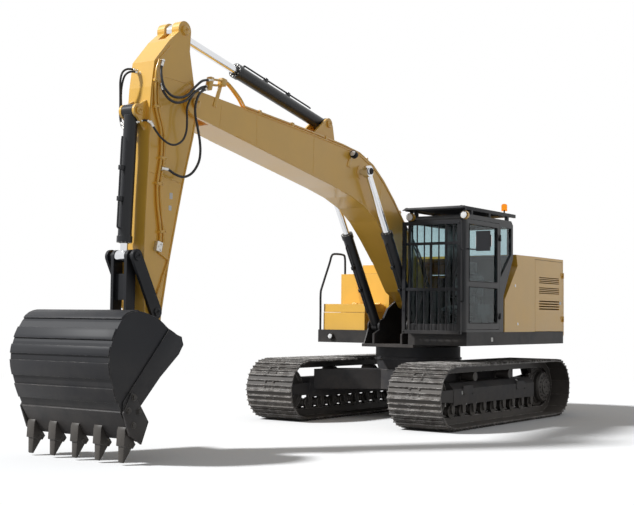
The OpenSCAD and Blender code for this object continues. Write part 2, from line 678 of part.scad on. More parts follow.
module cab_door_glass() {
    color(pane_tint, 0.4) for (p = door_panes)
        pane(p[0], [upper_half_w - 20 - glass_t, upper_half_w - 20], p[1]);
}
seat_y = [660, 1160];
module operator_seat() {
    color(dark_black) {
        block([60, 560], seat_y, [1560, 1680]);
        block([20, 150], seat_y, [1600, 2330]);
        block([130, 480], [780, 1040], [deck_top + cab_wall + seat, 1561]);
    }
}
module controls() {
    color(dark_black) {
        for (y = [[520, 640], [1180, 1290]]) block([120, 560], y, [1540, 1700]);
        for (y = [[540, 620], [1200, 1270]]) block([200, 420], y, [deck_top + cab_wall + seat, 1541]);
        for (y = [580, 1235]) translate([500, y, 1699]) cylinder(r = 14, h = 190, $fn = 20);
        for (y = [800, 1000]) translate([860, y, deck_top + cab_wall + seat]) cylinder(r = 12, h = 520, $fn = 20);
    }
}

// Guard over the windscreen: a frame of flat bars with upright rods
guard_x = [1165, 1205];
guard_y = [cab_y - 12, upper_half_w - 12];
guard_z = [1268, 2845];
rod_count = 7;
cross_z = [1890, 2530];
module front_guard() {
    color(dark_black) {
        difference() {
            block(guard_x, guard_y, guard_z);
            block([guard_x[0] - 1, guard_x[1] + 1], [guard_y[0] + 50, guard_y[1] - 50], [guard_z[0] + 50, guard_z[1] - 50]);
        }
        for (z = cross_z) block([guard_x[0] + 14, guard_x[0] + 26], [guard_y[0] + 49, guard_y[1] - 49], [z - 20, z + 20]);
        for (i = [1:rod_count]) translate([guard_x[0] + 20, guard_y[0] + i * (guard_y[1] - guard_y[0]) / (rod_count + 1), guard_z[0] + 49])
            cylinder(r = 10, h = guard_z[1] - guard_z[0] - 98, $fn = 20);
        for (y = [cab_y + 120, upper_half_w - 160], z = [guard_z[0] + 50, guard_z[1]])
            block([cab_x + seat, guard_x[0] + 1], [y, y + 40], [z - 18, z]);
    }
}

// Guard over the roof, on short posts
visor_x = [-450, 1245];
visor_z = [cab_top + 60, cab_top + 112];
module roof_guard() {
    color(dark_black) {
        block(visor_x, [cab_y - 10, upper_half_w - 5], visor_z);
        for (x = [-300, 300, 850], y = [cab_y + 60, upper_half_w - 110])
            block([x, x + 60], [y, y + 50], [cab_top + seat, visor_z[0] + 1]);
    }
}
module side_mirror() {
    color(dark_black) {
        block([1060, 1100], [upper_half_w + 170, upper_half_w + 370], [2415, 2690]);
        tube([[1070, upper_half_w - 4, 2452], [1075, upper_half_w + 30, 2450], [1080, upper_half_w + 130, 2440], [1080, upper_half_w + 171, 2440]], 10, [0, 0, 1]);
    }
}
module beacon() {
    color("orange") translate([-380, upper_half_w - 120, visor_z[1] + seat]) {
        cylinder(r = 60, h = 40);
        translate([0, 0, 40]) cylinder(r = 50, h = 110);
    }
}

// Boom: welded box between its foot and tip bosses. Columns: along, underside, top
boom_sections = [
    [60, -120, 175], [460, -95, 430], [960, 165, 745], [1370, 330, 925], [1720, 447, 1050], [2050, 500, 1125],
    [2430, 478, 1120], [2850, 410, 1020], [3600, 262, 805], [4300, 125, 590], [4900, 5, 405]];
joint_pin_r = 45;
foot_r = 165;
tip_r = 150;
function boom_outline(t) = concat(
    [for (s = boom_sections) [s[0], s[1] + t]],
    arc_points([boom_length, 0], tip_r - t, -105, 75, 14),
    [for (i = [len(boom_sections) - 1:-1:0]) [boom_sections[i][0], boom_sections[i][2] - t]]);
crowd_lug_y = [arm_barrel_r + 8, arm_barrel_r + 38];
module boom() {
    half = boom_w / 2;
    color(body_yellow) member(boom_foot, boom_angle) difference() {
        union() {
            difference() {
                slab(-half, half) polygon(boom_outline(0));
                slab(-half + plate_t, half - plate_t) intersection() {
                    polygon(boom_outline(plate_t));
                    translate([200, -300]) square([4950, 1700]);
                }
            }
            bar([0, 0], foot_r, -half, half);
            bar([boom_length, 0], tip_r, -half, half);
            bar(lift_eye_local, 95, -half - lift_boss, half + lift_boss);
            both_sides() slab(crowd_lug_y[0], crowd_lug_y[1]) polygon([
                crowd_base_local + [-330, -330], crowd_base_local + [330, -390], crowd_base_local + [70, 45],
                each arc_points(crowd_base_local, 80, 20, 160, 8), crowd_base_local + [-90, 20]]);
        }
        bar([0, 0], foot_pin_r + pin_fit, -half - 20, half + 20);
        slab(-arm_w / 2 - pivot_gap, arm_w / 2 + pivot_gap) union() {
            translate([boom_length, 0]) circle(r = 350);
            translate([boom_length - 100, -600]) square([400, 900]);
        }
    }
    color(rod_chrome) member(boom_foot, boom_angle) {
        bar([boom_length, 0], joint_pin_r, -half - 14, half + 14);
        bar(crowd_base_local, joint_pin_r, -crowd_lug_y[1] - 6, crowd_lug_y[1] + 6);
    }
}
pipe_r = 16;
pipe_up = 30;
module boom_pipes() {
    tops = [for (s = boom_sections) if (s[0] > 900) [s[0], s[2]]];
    color(body_yellow) member(boom_foot, boom_angle) both_sides() {
        for (y = [150, 190]) tube([for (p = tops) [p.x, y, p.y + pipe_up]], pipe_r, [0, 1, 0]);
        for (i = [0, 3, 5, 6, 7]) let (m = (tops[i] + tops[i + 1]) / 2)
            member(m, angle_of(tops[i + 1] - tops[i])) block([-22, 22], [130, 210], [seat, pipe_up + pipe_r + 6]);
    }
}

// Cylinder between two side-view points: a barrel with a foot eye and gland, and a rod with its own eye
module barrel_body(length, r, eye_r, eye_half, pin_r) {
    difference() {
        union() {
            bar([0, 0], eye_r, -eye_half, eye_half);
            translate([eye_r * 0.6, 0, 0]) rotate([0, 90, 0]) cylinder(r = r, h = length - eye_r * 0.6);
            translate([length - 70, 0, 0]) rotate([0, 90, 0]) cylinder(r = r + 10, h = 70);
        }
        translate([eye_r + 60, 0, 0]) rotate([0, 90, 0]) cylinder(r = r - 14, h = length);
        bar([0, 0], pin_r + pin_fit, -eye_half - 1, eye_half + 1);
    }
}
module rod_body(length, start, r, eye_r, eye_half) {
    bar([length, 0], eye_r, -eye_half, eye_half);
    translate([start, 0, 0]) rotate([0, 90, 0]) cylinder(r = r, h = length - start - eye_r * 0.6);
}
module on_line(a, b) {
    member(a, angle_of(b - a)) children();
}
lift_length = norm(lift_eye - lift_base);
lift_barrel = 1560;
lift_boss = 8;
pin_in = boom_w / 2 + lift_boss + seat - boom_cylinder_y;
module boom_cylinder_barrels() {
    color(dark_black) for (s = [-1, 1]) translate([0, s * boom_cylinder_y, 0]) on_line(lift_base, lift_eye)
        barrel_body(lift_barrel, boom_barrel_r, 78, 40, 42);
}
module boom_cylinder_rods() {
    color(rod_chrome) for (s = [-1, 1]) translate([0, s * boom_cylinder_y, 0]) on_line(lift_base, lift_eye) {
        rod_body(lift_length, 815, boom_rod_r, 80, 44);
        bar([lift_length, 0], 42, s > 0 ? pin_in : -56, s > 0 ? 56 : -pin_in);
    }
}
crowd_length = norm(crowd_eye - crowd_base);
crowd_barrel = 1900;
module arm_cylinder_barrel() {
    color(dark_black) on_line(crowd_base, crowd_eye) barrel_body(crowd_barrel, arm_barrel_r, 82, arm_barrel_r, joint_pin_r);
}
module arm_cylinder_rod() {
    color(rod_chrome) on_line(crowd_base, crowd_eye) rod_body(crowd_length, 985, arm_rod_r, 85, 56 - seat);
}
curl_length = norm(knuckle - curl_base);
curl_barrel = curl_length - 149;
module bucket_cylinder_barrel() {
    color(dark_black) on_line(curl_base, knuckle) barrel_body(curl_barrel, bucket_barrel_r, 76, bucket_barrel_r, 40);
}
module bucket_cylinder_rod() {
    color(rod_chrome) on_line(curl_base, knuckle) rod_body(curl_length, 200, bucket_rod_r, 66, eye_half);
}

// Arm: welded box. Columns: along, machine side, front side
arm_sections = [
    [-560, 175, 520], [-240, 30, 700], [60, -110, 680], [363, -110, 640], [850, -70, 540], [0.456 * arm_length, -55, 470], [0.666 * arm_length, -40, 365],
    [arm_length - 406, -55, 215]];
nose_r = 105;
curl_lug_y = [bucket_barrel_r + 8, bucket_barrel_r + 40];
function arm_outline(t) = concat(
    [for (s = arm_sections) [s[0], s[1] + t]],
    arc_points([arm_length, 0], nose_r - t, -90, 80, 12),
    [for (i = [len(arm_sections) - 1:-1:0]) [arm_sections[i][0], arm_sections[i][2] - t]]);
module arm() {
    half = arm_w / 2;
    color(body_yellow) member(boom_tip, arm_angle) difference() {
        union() {
            difference() {
                slab(-half, half) polygon(arm_outline(0));
                slab(-half + plate_t, half - plate_t) intersection() {
                    polygon(arm_outline(plate_t));
                    translate([-300, -200]) square([2700, 900]);
                }
            }
            bar([0, 0], 165, -half, half);
            bar([arm_length, 0], nose_r, -half, half);
            bar(rocker_pin_local, 80, -half, half);
            slab(-half, half) polygon([[-560, 175], [-560, 520], each arc_points(crowd_eye_local, 105, 60, 260, 12)]);
            both_sides() slab(curl_lug_y[0], curl_lug_y[1]) polygon([[150, 600], each arc_points(curl_base_local, 78, 180, 0, 12), [560, 560]]);
        }
        bar([0, 0], joint_pin_r + pin_fit, -half - 5, half + 5);
        bar([arm_length, 0], joint_pin_r + pin_fit, -half - 5, half + 5);
        bar(rocker_pin_local, rocker_pin_r + pin_fit, -half - 5, half + 5);
        slab(-56, 56) translate(crowd_eye_local) circle(r = 240);
    }
    color(rod_chrome) member(boom_tip, arm_angle) {
        bar(curl_base_local, 40, -curl_lug_y[1] - 6, curl_lug_y[1] + 6);
        both_sides() bar(crowd_eye_local, 60, half - 1, half + 10);
    }
}

eye_half = 70;
link_y = [78, 118];
// Rocker: two side levers from the arm to the knuckle pin
rocker_y = [arm_w / 2 + pivot_gap, arm_w / 2 + pivot_gap + 35];
module rocker() {
    color(dark_black) {
        both_sides() slab(rocker_y[0], rocker_y[1]) polygon(concat(
            arc_points(rocker_pin, 80, rocker_angle + 90, rocker_angle + 270, 12), arc_points(knuckle, 75, rocker_angle - 90, rocker_angle + 90, 12)));
        bar(rocker_pin, rocker_pin_r, -rocker_y[1] + 1, rocker_y[1] - 1);
        both_sides() bar(knuckle, joint_pin_r, eye_half + seat, rocker_y[1] - 1);
    }
}

// Link between the knuckle and the bucket
link_angle = angle_of(link_pin - knuckle);
module h_link() {
    color(dark_black) {
        difference() {
            both_sides() slab(link_y[0], link_y[1]) polygon(concat(
                arc_points(knuckle, 70, link_angle + 90, link_angle + 270, 12), arc_points(link_pin, 65, link_angle - 90, link_angle + 90, 12)));
            bar(knuckle, joint_pin_r + pin_fit, -link_y[1] - 1, link_y[1] + 1);
        }
        member(knuckle, link_angle) block([190, 470], [-link_y[0] - 1, link_y[0] + 1], [-25, 25]);
        bar(link_pin, 62, -link_y[1] - 20, link_y[1] + 20);
    }
}

// Bucket: shell outline from the top front edge round the back to the lip
shell_points = [[15, 290], [48, 422], [77, 608], [200, 858], [390, 985], [690, 936], [901, 780], [1082, 439], [1195, 60]];
shell_curve = smooth_route(shell_points, 4);
shell_centre = [430, 430];
mouth_points = [[1183, 5], [892, 206], [498, 178], [140, 116], [33, 130], [-22, 204]];
ear_y = [arm_w / 2 + pivot_gap, arm_w / 2 + pivot_gap + 40];
module bucket() {
    half = bucket_w / 2;
    inner = [for (p = shell_curve) p + bucket_t * unit(shell_centre - p)];
    color(dark_black) member(bucket_pin, bucket_angle) {
        slab(-half, half) polygon(concat(shell_curve, [for (i = [len(inner) - 1:-1:0]) inner[i]]));
        both_sides() slab(half - bucket_t, half) polygon(concat(shell_curve, mouth_points));
        both_sides() {
            slab(ear_y[0], ear_y[1]) polygon(concat(arc_points([0, 0], 95, 150, 300, 10), [[60, 330], [70, 620]], arc_points(link_pin_local, 85, 60, 180, 8)));
            bar(link_pin_local, 45, link_y[1] + 20 + seat, ear_y[1] + 10);
        }
        bar([0, 0], joint_pin_r, -ear_y[1] - 10, ear_y[1] + 10);
    }
}
module bucket_teeth() {
    color(dark_black) member(bucket_pin, bucket_angle)
        for (i = [0:tooth_count - 1]) translate([0, -bucket_w / 2 + 60 + i * (bucket_w - 120) / (tooth_count - 1), 0])
            slab(-50, 50) polygon([[bucket_radius, 0], [1195 + seat, -40], [1195 + seat, 60], [bucket_radius, 12]]);
}

carbody();
swing_bearing();
left_side_frame();
right_side_frame();
left_track();
right_track();
idlers();
sprockets();
left_rollers();
right_rollers();
revolving_frame();
counterweight();
engine();
engine_hood();
housing();
left_rear_door();
right_rear_door();
fuel_tank();
hydraulic_tank();
storage_box();
storage_lid();
handrails();
cab_shell();
cab_glass();
cab_door();
cab_door_glass();
operator_seat();
controls();
front_guard();
roof_guard();
side_mirror();
beacon();
boom();
boom_pipes();
boom_cylinder_barrels();
boom_cylinder_rods();
arm_cylinder_barrel();
arm_cylinder_rod();
arm();
bucket_cylinder_barrel();
bucket_cylinder_rod();
rocker();
h_link();
bucket();
bucket_teeth();
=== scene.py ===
"""Looks of a crawler excavator: finishes, fittings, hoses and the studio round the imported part."""
import json
import math

import bpy
from bpy.props import FloatProperty, FloatVectorProperty, PointerProperty
from mathutils import Matrix, Vector


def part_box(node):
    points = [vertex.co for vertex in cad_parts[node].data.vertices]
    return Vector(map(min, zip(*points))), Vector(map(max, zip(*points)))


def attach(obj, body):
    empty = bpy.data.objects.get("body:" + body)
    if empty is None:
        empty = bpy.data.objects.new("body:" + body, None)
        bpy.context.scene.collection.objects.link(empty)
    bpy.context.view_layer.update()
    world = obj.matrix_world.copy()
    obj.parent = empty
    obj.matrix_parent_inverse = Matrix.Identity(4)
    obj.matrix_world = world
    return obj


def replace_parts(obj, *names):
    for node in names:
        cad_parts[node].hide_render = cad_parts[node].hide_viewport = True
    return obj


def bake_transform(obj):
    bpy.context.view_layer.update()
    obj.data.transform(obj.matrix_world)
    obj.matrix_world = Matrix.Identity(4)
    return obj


bl_info = {
    "name": "Crawler excavator looks",
    "version": (1, 0, 0),
    "blender": (4, 5, 0),
    "location": "View3D > Sidebar > Excavator",
    "description": "Finishes, fittings and studio for a packed crawler excavator",
    "category": "Object",
}

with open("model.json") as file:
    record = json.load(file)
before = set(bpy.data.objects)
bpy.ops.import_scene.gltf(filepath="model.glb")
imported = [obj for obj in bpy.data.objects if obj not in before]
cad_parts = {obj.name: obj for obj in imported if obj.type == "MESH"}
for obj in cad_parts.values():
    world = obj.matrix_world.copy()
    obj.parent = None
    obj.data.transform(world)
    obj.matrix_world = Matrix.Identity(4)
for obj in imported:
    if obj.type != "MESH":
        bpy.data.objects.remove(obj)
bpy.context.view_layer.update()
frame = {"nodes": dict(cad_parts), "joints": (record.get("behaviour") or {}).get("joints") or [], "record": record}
NODES = frame["nodes"]
BODY_OF = {node: body for body, nodes in frame["record"]["behaviour"]["bodies"].items() for node in nodes}


# Sizes and colours a user would change

class ExcavatorFinishes(bpy.types.PropertyGroup):
    """Colours and wear of the excavator's finishes"""
    yellow: FloatVectorProperty(
        name="Yellow enamel", description="Paint of the boom, arm, covers and tanks",
        subtype="COLOR", size=3, min=0, max=1, default=(0.84, 0.48, 0.06))
    black: FloatVectorProperty(
        name="Black enamel", description="Paint of the cab, frames and cylinders",
        subtype="COLOR", size=3, min=0, max=1, default=(0.014, 0.015, 0.018))
    steel: FloatVectorProperty(
        name="Track steel", description="Bare dark steel of the chains and wheels",
        subtype="COLOR", size=3, min=0, max=1, default=(0.050, 0.047, 0.045))
    dust: FloatVectorProperty(
        name="Dust", description="Dry dust that settles on the undercarriage",
        subtype="COLOR", size=3, min=0, max=1, default=(0.30, 0.265, 0.23))
    glass: FloatVectorProperty(
        name="Glass tint", description="Tint of the cab's panes",
        subtype="COLOR", size=3, min=0, max=1, default=(0.55, 0.66, 0.68))
    # On the yellow enamel this also sets the strength of the painted highlight along the edges
    wear: FloatProperty(
        name="Edge wear", description="How far the paint is rubbed along edges",
        subtype="FACTOR", min=0, max=1, default=0.35)
    edge_radius: FloatProperty(
        name="Edge radius", description="Radius at which plate edges look rounded",
        subtype="DISTANCE", unit="LENGTH", min=0.001, max=0.02, default=0.006)


class ExcavatorFittings(bpy.types.PropertyGroup):
    """Sizes of the small fittings"""
    hose: FloatProperty(
        name="Hose", description="Outer diameter of the hoses at the boom's tip and foot",
        subtype="DISTANCE", unit="LENGTH", min=0.015, max=0.06, default=0.0289)
    small_hose: FloatProperty(
        name="Small hose", description="Outer diameter of the bucket cylinder's hoses",
        subtype="DISTANCE", unit="LENGTH", min=0.01, max=0.04, default=0.024)
    shoe_bolt: FloatProperty(
        name="Shoe bolt", description="Width across the corners of a track shoe's bolt head",
        subtype="DISTANCE", unit="LENGTH", min=0.01, max=0.06, default=0.034)
    bolt: FloatProperty(
        name="Cover bolt", description="Width across the corners of a cover's bolt head",
        subtype="DISTANCE", unit="LENGTH", min=0.008, max=0.05, default=0.026)
    weld: FloatProperty(
        name="Weld bead", description="Width of the weld beads on the boom and the arm",
        subtype="DISTANCE", unit="LENGTH", min=0.004, max=0.02, default=0.011)
    seal: FloatProperty(
        name="Window seal", description="Thickness of the rubber round the cab's panes",
        subtype="DISTANCE", unit="LENGTH", min=0.006, max=0.03, default=0.016)


class ExcavatorStudio(bpy.types.PropertyGroup):
    """Studio sizes and light levels"""
    sun_strength: FloatProperty(
        name="Sun strength", description="Strength of the sun lamp",
        min=0, max=10, default=3.7)
    sun_azimuth: FloatProperty(
        name="Sun azimuth", description="Where the sun stands, counted from the machine's front",
        subtype="ANGLE", unit="ROTATION", default=math.radians(-42))
    sun_height: FloatProperty(
        name="Sun height", description="The sun's angle over the horizon",
        subtype="ANGLE", unit="ROTATION", default=math.radians(42))
    sky_level: FloatProperty(
        name="Sky level", description="Light that the surroundings give on all sides",
        min=0, max=2, default=0.30)
    floor_radius: FloatProperty(
        name="Floor radius", description="Radius of the studio floor",
        subtype="DISTANCE", unit="LENGTH", min=10, max=200, default=60.0)


# Places on the machine

def joint_at(name):
    """Pivot of a joint, in metres."""
    return next(Vector(joint["pos_m"]) for joint in frame["joints"] if joint["name"] == name)


def lengthwise(origin, slope):
    """Function from a member's own (along, up, across) to the row frame."""
    c, s = math.cos(slope), math.sin(slope)
    return lambda along, up, across: Vector((
        origin.x + along * c - up * s, across, origin.z + along * s + up * c))


def slope_of(start, end):
    return math.atan2(end.z - start.z, end.x - start.x)


FOOT, TIP, BUCKET_PIN = joint_at("boom_lift"), joint_at("arm_crowd"), joint_at("bucket_curl")
BOOM_SLOPE, ARM_SLOPE, BUCKET_SLOPE = slope_of(FOOT, TIP), slope_of(TIP, BUCKET_PIN), math.radians(-49.1)
on_boom = lengthwise(FOOT, BOOM_SLOPE)
on_arm = lengthwise(TIP, ARM_SLOPE)
on_bucket = lengthwise(BUCKET_PIN, BUCKET_SLOPE)
LIFT_BASE, CROWD_BASE = joint_at("boom_cylinder_tilt"), joint_at("arm_cylinder_tilt")
CURL_BASE, ROCKER_PIN = joint_at("bucket_cylinder_tilt"), joint_at("rocker_swing")
KNUCKLE = joint_at("link_swing")
LIFT_EYE, CROWD_EYE = on_boom(2.340, 0.900, 0), on_arm(-0.766, 0.310, 0)
LINK_PIN = on_bucket(-0.067, 0.449, 0)
LEFT, RIGHT, UP, DOWN, AHEAD, BACK = (Vector(v) for v in (
    (0, 1, 0), (0, -1, 0), (0, 0, 1), (0, 0, -1), (1, 0, 0), (-1, 0, 0)))


def touch(start, direction, nodes=None):
    """First point where a line meets the CAD nodes, that face's normal and the node's name."""
    found = []
    for name in nodes or [node for node in NODES if not NODES[node].hide_viewport]:
        hit, place, normal, _ = NODES[name].ray_cast(start, direction)
        if hit:
            found.append(((place - start).length, name, place.copy(), normal.copy()))
    if not found:
        raise RuntimeError(f"nothing to seat a fitting on from {tuple(start)}")
    _, name, place, normal = min(found, key=lambda item: item[:2])
    return place, normal if normal.dot(direction) < 0 else -normal, name


def side_place(point, side, nodes=None, start=2.2):
    """Where a line along Y at a point's x and z first meets the machine, from the left or right."""
    return touch(Vector((point.x, side * start, point.z)), Vector((0, -side, 0)), nodes)


# Modelling helpers

# Cosine of the greatest lean at which a face still counts as an end
END_FACE = 0.9


def top_face(face):
    return face.normal.z > END_FACE


def bottom_face(face):
    return face.normal.z < -END_FACE


def end_face(face):
    return abs(face.normal.z) > END_FACE


def fresh():
    """Object mode with nothing selected."""
    if bpy.context.object and bpy.context.object.mode != "OBJECT":
        bpy.ops.object.mode_set(mode="OBJECT")
    bpy.ops.object.select_all(action="DESELECT")
    bpy.context.tool_settings.mesh_select_mode = (False, False, True)


def choose(*pieces):
    """Object mode with only these pieces selected and the first one active."""
    fresh()
    for piece in pieces:
        piece.select_set(True)
    bpy.context.view_layer.objects.active = pieces[0]


def settle():
    """Applies the selected pieces' places, turns and sizes to their meshes."""
    bpy.ops.object.transform_apply(location=True, rotation=True, scale=True)


def pick(piece, test=lambda face: True):
    """Edit mode with the faces that pass the test selected."""
    bpy.context.view_layer.objects.active = piece
    bpy.ops.object.mode_set(mode="OBJECT")
    for group in (piece.data.vertices, piece.data.edges, piece.data.polygons):
        group.foreach_set("select", [False] * len(group))
    for face in piece.data.polygons:
        face.select = test(face)
    bpy.ops.object.mode_set(mode="EDIT")


def stepped(piece, *steps, test=top_face):
    """Insets the faces that pass the test by (thickness, depth) steps."""
    pick(piece, test)
    for thickness, depth in steps:
        bpy.ops.mesh.inset(thickness=thickness, depth=depth)
    bpy.ops.object.mode_set(mode="OBJECT")
    return piece


def cylinder(radius, depth, sides):
    """Cylinder that stands on the origin along Z."""
    fresh()
    bpy.ops.mesh.primitive_cylinder_add(
        vertices=sides, radius=radius, depth=depth, location=(0, 0, depth / 2))
    return bpy.context.object


def turned(radius, depth, sides, *steps, test=top_face):
    """Cylinder whose top, or the faces that pass the test, are inset by steps."""
    return stepped(cylinder(radius, depth, sides), *steps, test=test)


def applied(piece, kind, **values):
    """Adds a modifier, sets it and applies it."""
    choose(piece)
    modifier = piece.modifiers.new(kind.lower(), kind)
    for key, value in values.items():
        setattr(modifier, key, value)
    bpy.ops.object.modifier_apply(modifier=modifier.name)
    return piece


def ring(radius, wire, sides):
    """Ring of round wire about Z, with the wire's own radius."""
    fresh()
    bpy.ops.mesh.primitive_torus_add(
        major_radius=radius, minor_radius=wire, major_segments=sides, minor_segments=8)
    return applied(bpy.context.object, "SUBSURF", levels=1, render_levels=1)


def bolt_head(across, height, washer=True):
    """Hexagon head with a domed top, on a washer."""
    head = turned(across / 2, height, 6, (across * 0.09, height * 0.10))
    return joined([head, cylinder(across * 0.68, height * 0.28, 12)]) if washer else head


def joined(pieces):
    """Several pieces as one, with their places in the mesh."""
    choose(*pieces)
    if len(pieces) > 1:
        bpy.ops.object.join()
    settle()
    return bpy.context.object


def repeated(piece, places):
    """Copies of a piece that stands along Z, at (point, outward direction, turn) places, as one."""
    twins = []
    for point, out, *turn in places:
        twin = piece.copy()
        twin.data = piece.data.copy()
        bpy.context.collection.objects.link(twin)
        spin = Matrix.Rotation(turn[0] if turn else 0.0, 4, "Z")
        stand = out.to_track_quat("Z", "Y").to_matrix().to_4x4()
        twin.matrix_world = Matrix.Translation(point) @ stand @ spin
        twins.append(twin)
    bpy.data.objects.remove(piece)
    return joined(twins)


def smooth_line(points, steps=8):
    """Points of a smooth curve through the given ones."""
    last = len(points) - 1
    line = []
    for i in range(last):
        a, b, c, d = (points[max(0, min(last, k))] for k in (i - 1, i, i + 1, i + 2))
        for k in range(steps):
            t = k / steps
            line.append(0.5 * (2 * b + (c - a) * t + (2 * a - 5 * b + 4 * c - d) * t * t
                               + (3 * b - a - 3 * c + d) * t ** 3))
    return line + [points[last]]


def tube(line, radius, sides=12, closed=False):
    """Round tube along a line of points, as a mesh."""
    data = bpy.data.curves.new("tube", "CURVE")
    data.dimensions = "3D"
    data.bevel_depth = radius
    data.bevel_resolution = max(0, sides // 4 - 1)
    data.use_fill_caps = not closed
    spline = data.splines.new("POLY")
    spline.points.add(len(line) - 1)
    for spot, point in zip(spline.points, line):
        spot.co = (*point, 1)
    spline.use_cyclic_u = closed
    piece = bpy.data.objects.new("tube", data)
    bpy.context.collection.objects.link(piece)
    choose(piece)
    bpy.ops.object.convert(target="MESH")
    return bpy.context.object


def rounded(piece, edge, segments):
    """Bevels a piece's sharp edges."""
    return applied(piece, "BEVEL", width=edge, segments=segments, limit_method="ANGLE")


def slab(low, high, edge):
    """Block between two corners with rounded edges."""
    fresh()
    low, high = Vector(low), Vector(high)
    bpy.ops.mesh.primitive_cube_add(size=1, location=(low + high) / 2, scale=high - low)
    piece = bpy.context.object
    settle()
    return rounded(piece, edge, 3)


def thickened(piece, offset):
    """Extrudes the picked faces by an offset into a shell with its normals outwards."""
    bpy.ops.mesh.extrude_region_move(TRANSFORM_OT_translate={"value": offset})
    bpy.ops.mesh.select_all(action="SELECT")
    bpy.ops.mesh.normals_make_consistent(inside=False)
    bpy.ops.object.mode_set(mode="OBJECT")
    return piece


def blank_plate(width, height, thickness):
    """Blank plate with rounded corners in the XY plane, standing on Z."""
    fresh()
    bpy.ops.mesh.primitive_plane_add(size=1)
    plate = bpy.context.object
    plate.scale = (width, height, 1)
    settle()
    pick(plate)
    bpy.ops.mesh.bevel(offset=min(width, height) * 0.15, segments=4, affect="VERTICES")
    return thickened(plate, (0, 0, thickness))


def rectangle(low, high):
    """Outline of a rectangle between two corners."""
    return [low, (high[0], low[1]), high, (low[0], high[1])]


def plate_of(outline, place, y0, y1, edge=0.003):
    """Plate with a member's side-view outline, between two places across, with bevelled edges."""
    fresh()
    bpy.ops.mesh.primitive_circle_add(vertices=len(outline), fill_type="NGON")
    piece = bpy.context.object
    for vertex, (along, up) in zip(piece.data.vertices, outline):
        vertex.co = place(along, up, y0)
    pick(piece)
    return rounded(thickened(piece, (0, y1 - y0, 0)), edge, 2)


def fitted(piece, name, body, finish, smooth=32):
    """Names, paints and hangs a finished piece on its body."""
    joined([piece])
    piece.name = piece.data.name = name
    material, slot = FINISHES[finish]
    piece.data.materials.clear()
    piece.data.materials.append(bpy.data.materials[material])
    bpy.ops.object.shade_smooth_by_angle(angle=math.radians(smooth))
    if body:
        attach(piece, body)
    return piece


# Node helpers

def new_group(name, inputs, outputs):
    """Shader node group with (name, default) number inputs and (name, socket type) outputs."""
    group = bpy.data.node_groups.new(name, "ShaderNodeTree")
    for label, value in inputs:
        socket = group.interface.new_socket(name=label, in_out="INPUT", socket_type="NodeSocketFloat")
        socket.default_value = value
    for label, kind in outputs:
        group.interface.new_socket(name=label, in_out="OUTPUT", socket_type=kind)
    return group, group.nodes.new("NodeGroupInput"), group.nodes.new("NodeGroupOutput")


def add_node(tree, kind, **values):
    """New node whose attributes are set by name."""
    node = tree.nodes.new(kind)
    for key, value in values.items():
        setattr(node, key, value)
    return node


def feed(tree, socket, value):
    """Sets a socket to a number or a colour, or links another socket to it."""
    if isinstance(value, (int, float)):
        socket.default_value = value
    elif isinstance(value, (tuple, list)):
        socket.default_value = (*value, 1)
    else:
        tree.links.new(value, socket)


def wired(tree, node, **values):
    """Node with its sockets fed by name, with underscores for spaces."""
    for key, value in values.items():
        feed(tree, node.inputs[key.replace("_", " ")], value)
    return node


def object_space(tree):
    return add_node(tree, "ShaderNodeTexCoord").outputs["Object"]


def ramp(tree, source, low, high, to_low=0.0, to_high=1.0):
    """Output that goes from to_low to to_high as the source goes from low to high."""
    return wired(tree, add_node(tree, "ShaderNodeMapRange"), Value=source, From_Min=low, From_Max=high,
                 To_Min=to_low, To_Max=to_high).outputs["Result"]


def combine(tree, operation, total, *others):
    """Output of one maths operation over sockets and numbers, from left to right."""
    for value in others:
        node = add_node(tree, "ShaderNodeMath", operation=operation)
        feed(tree, node.inputs[0], total)
        feed(tree, node.inputs[1], value)
        total = node.outputs["Value"]
    return total


def noise(tree, where, scale, detail, roughness=0.55):
    return wired(tree, add_node(tree, "ShaderNodeTexNoise"), Vector=where, Scale=scale, Detail=detail,
                 Roughness=roughness).outputs["Fac"]


def stripes(tree, direction, scale, distortion):
    return wired(tree, add_node(tree, "ShaderNodeTexWave", bands_direction=direction),
                 Vector=object_space(tree), Scale=scale, Distortion=distortion).outputs["Fac"]


def height_of(tree, vector):
    """Z of a vector."""
    return wired(tree, add_node(tree, "ShaderNodeSeparateXYZ"), Vector=vector).outputs["Z"]


def relief(tree, height, strength, distance, **normal):
    """Normal of a surface with a bump map."""
    return wired(tree, add_node(tree, "ShaderNodeBump"), Height=height, Strength=strength,
                 Distance=distance, **normal).outputs["Normal"]


def mix_colour(tree, factor, first, second):
    """Colour between two, by a factor."""
    node = add_node(tree, "ShaderNodeMix", data_type="RGBA", blend_type="MIX")
    for key, kind, value in (("Factor", "VALUE", factor), ("A", "RGBA", first), ("B", "RGBA", second)):
        feed(tree, next(s for s in node.inputs if s.name == key and s.type == kind), value)
    return next(s for s in node.outputs if s.type == "RGBA")


def times(colour, factor):
    """Colour made darker or lighter."""
    return [min(1, c * factor) for c in colour]


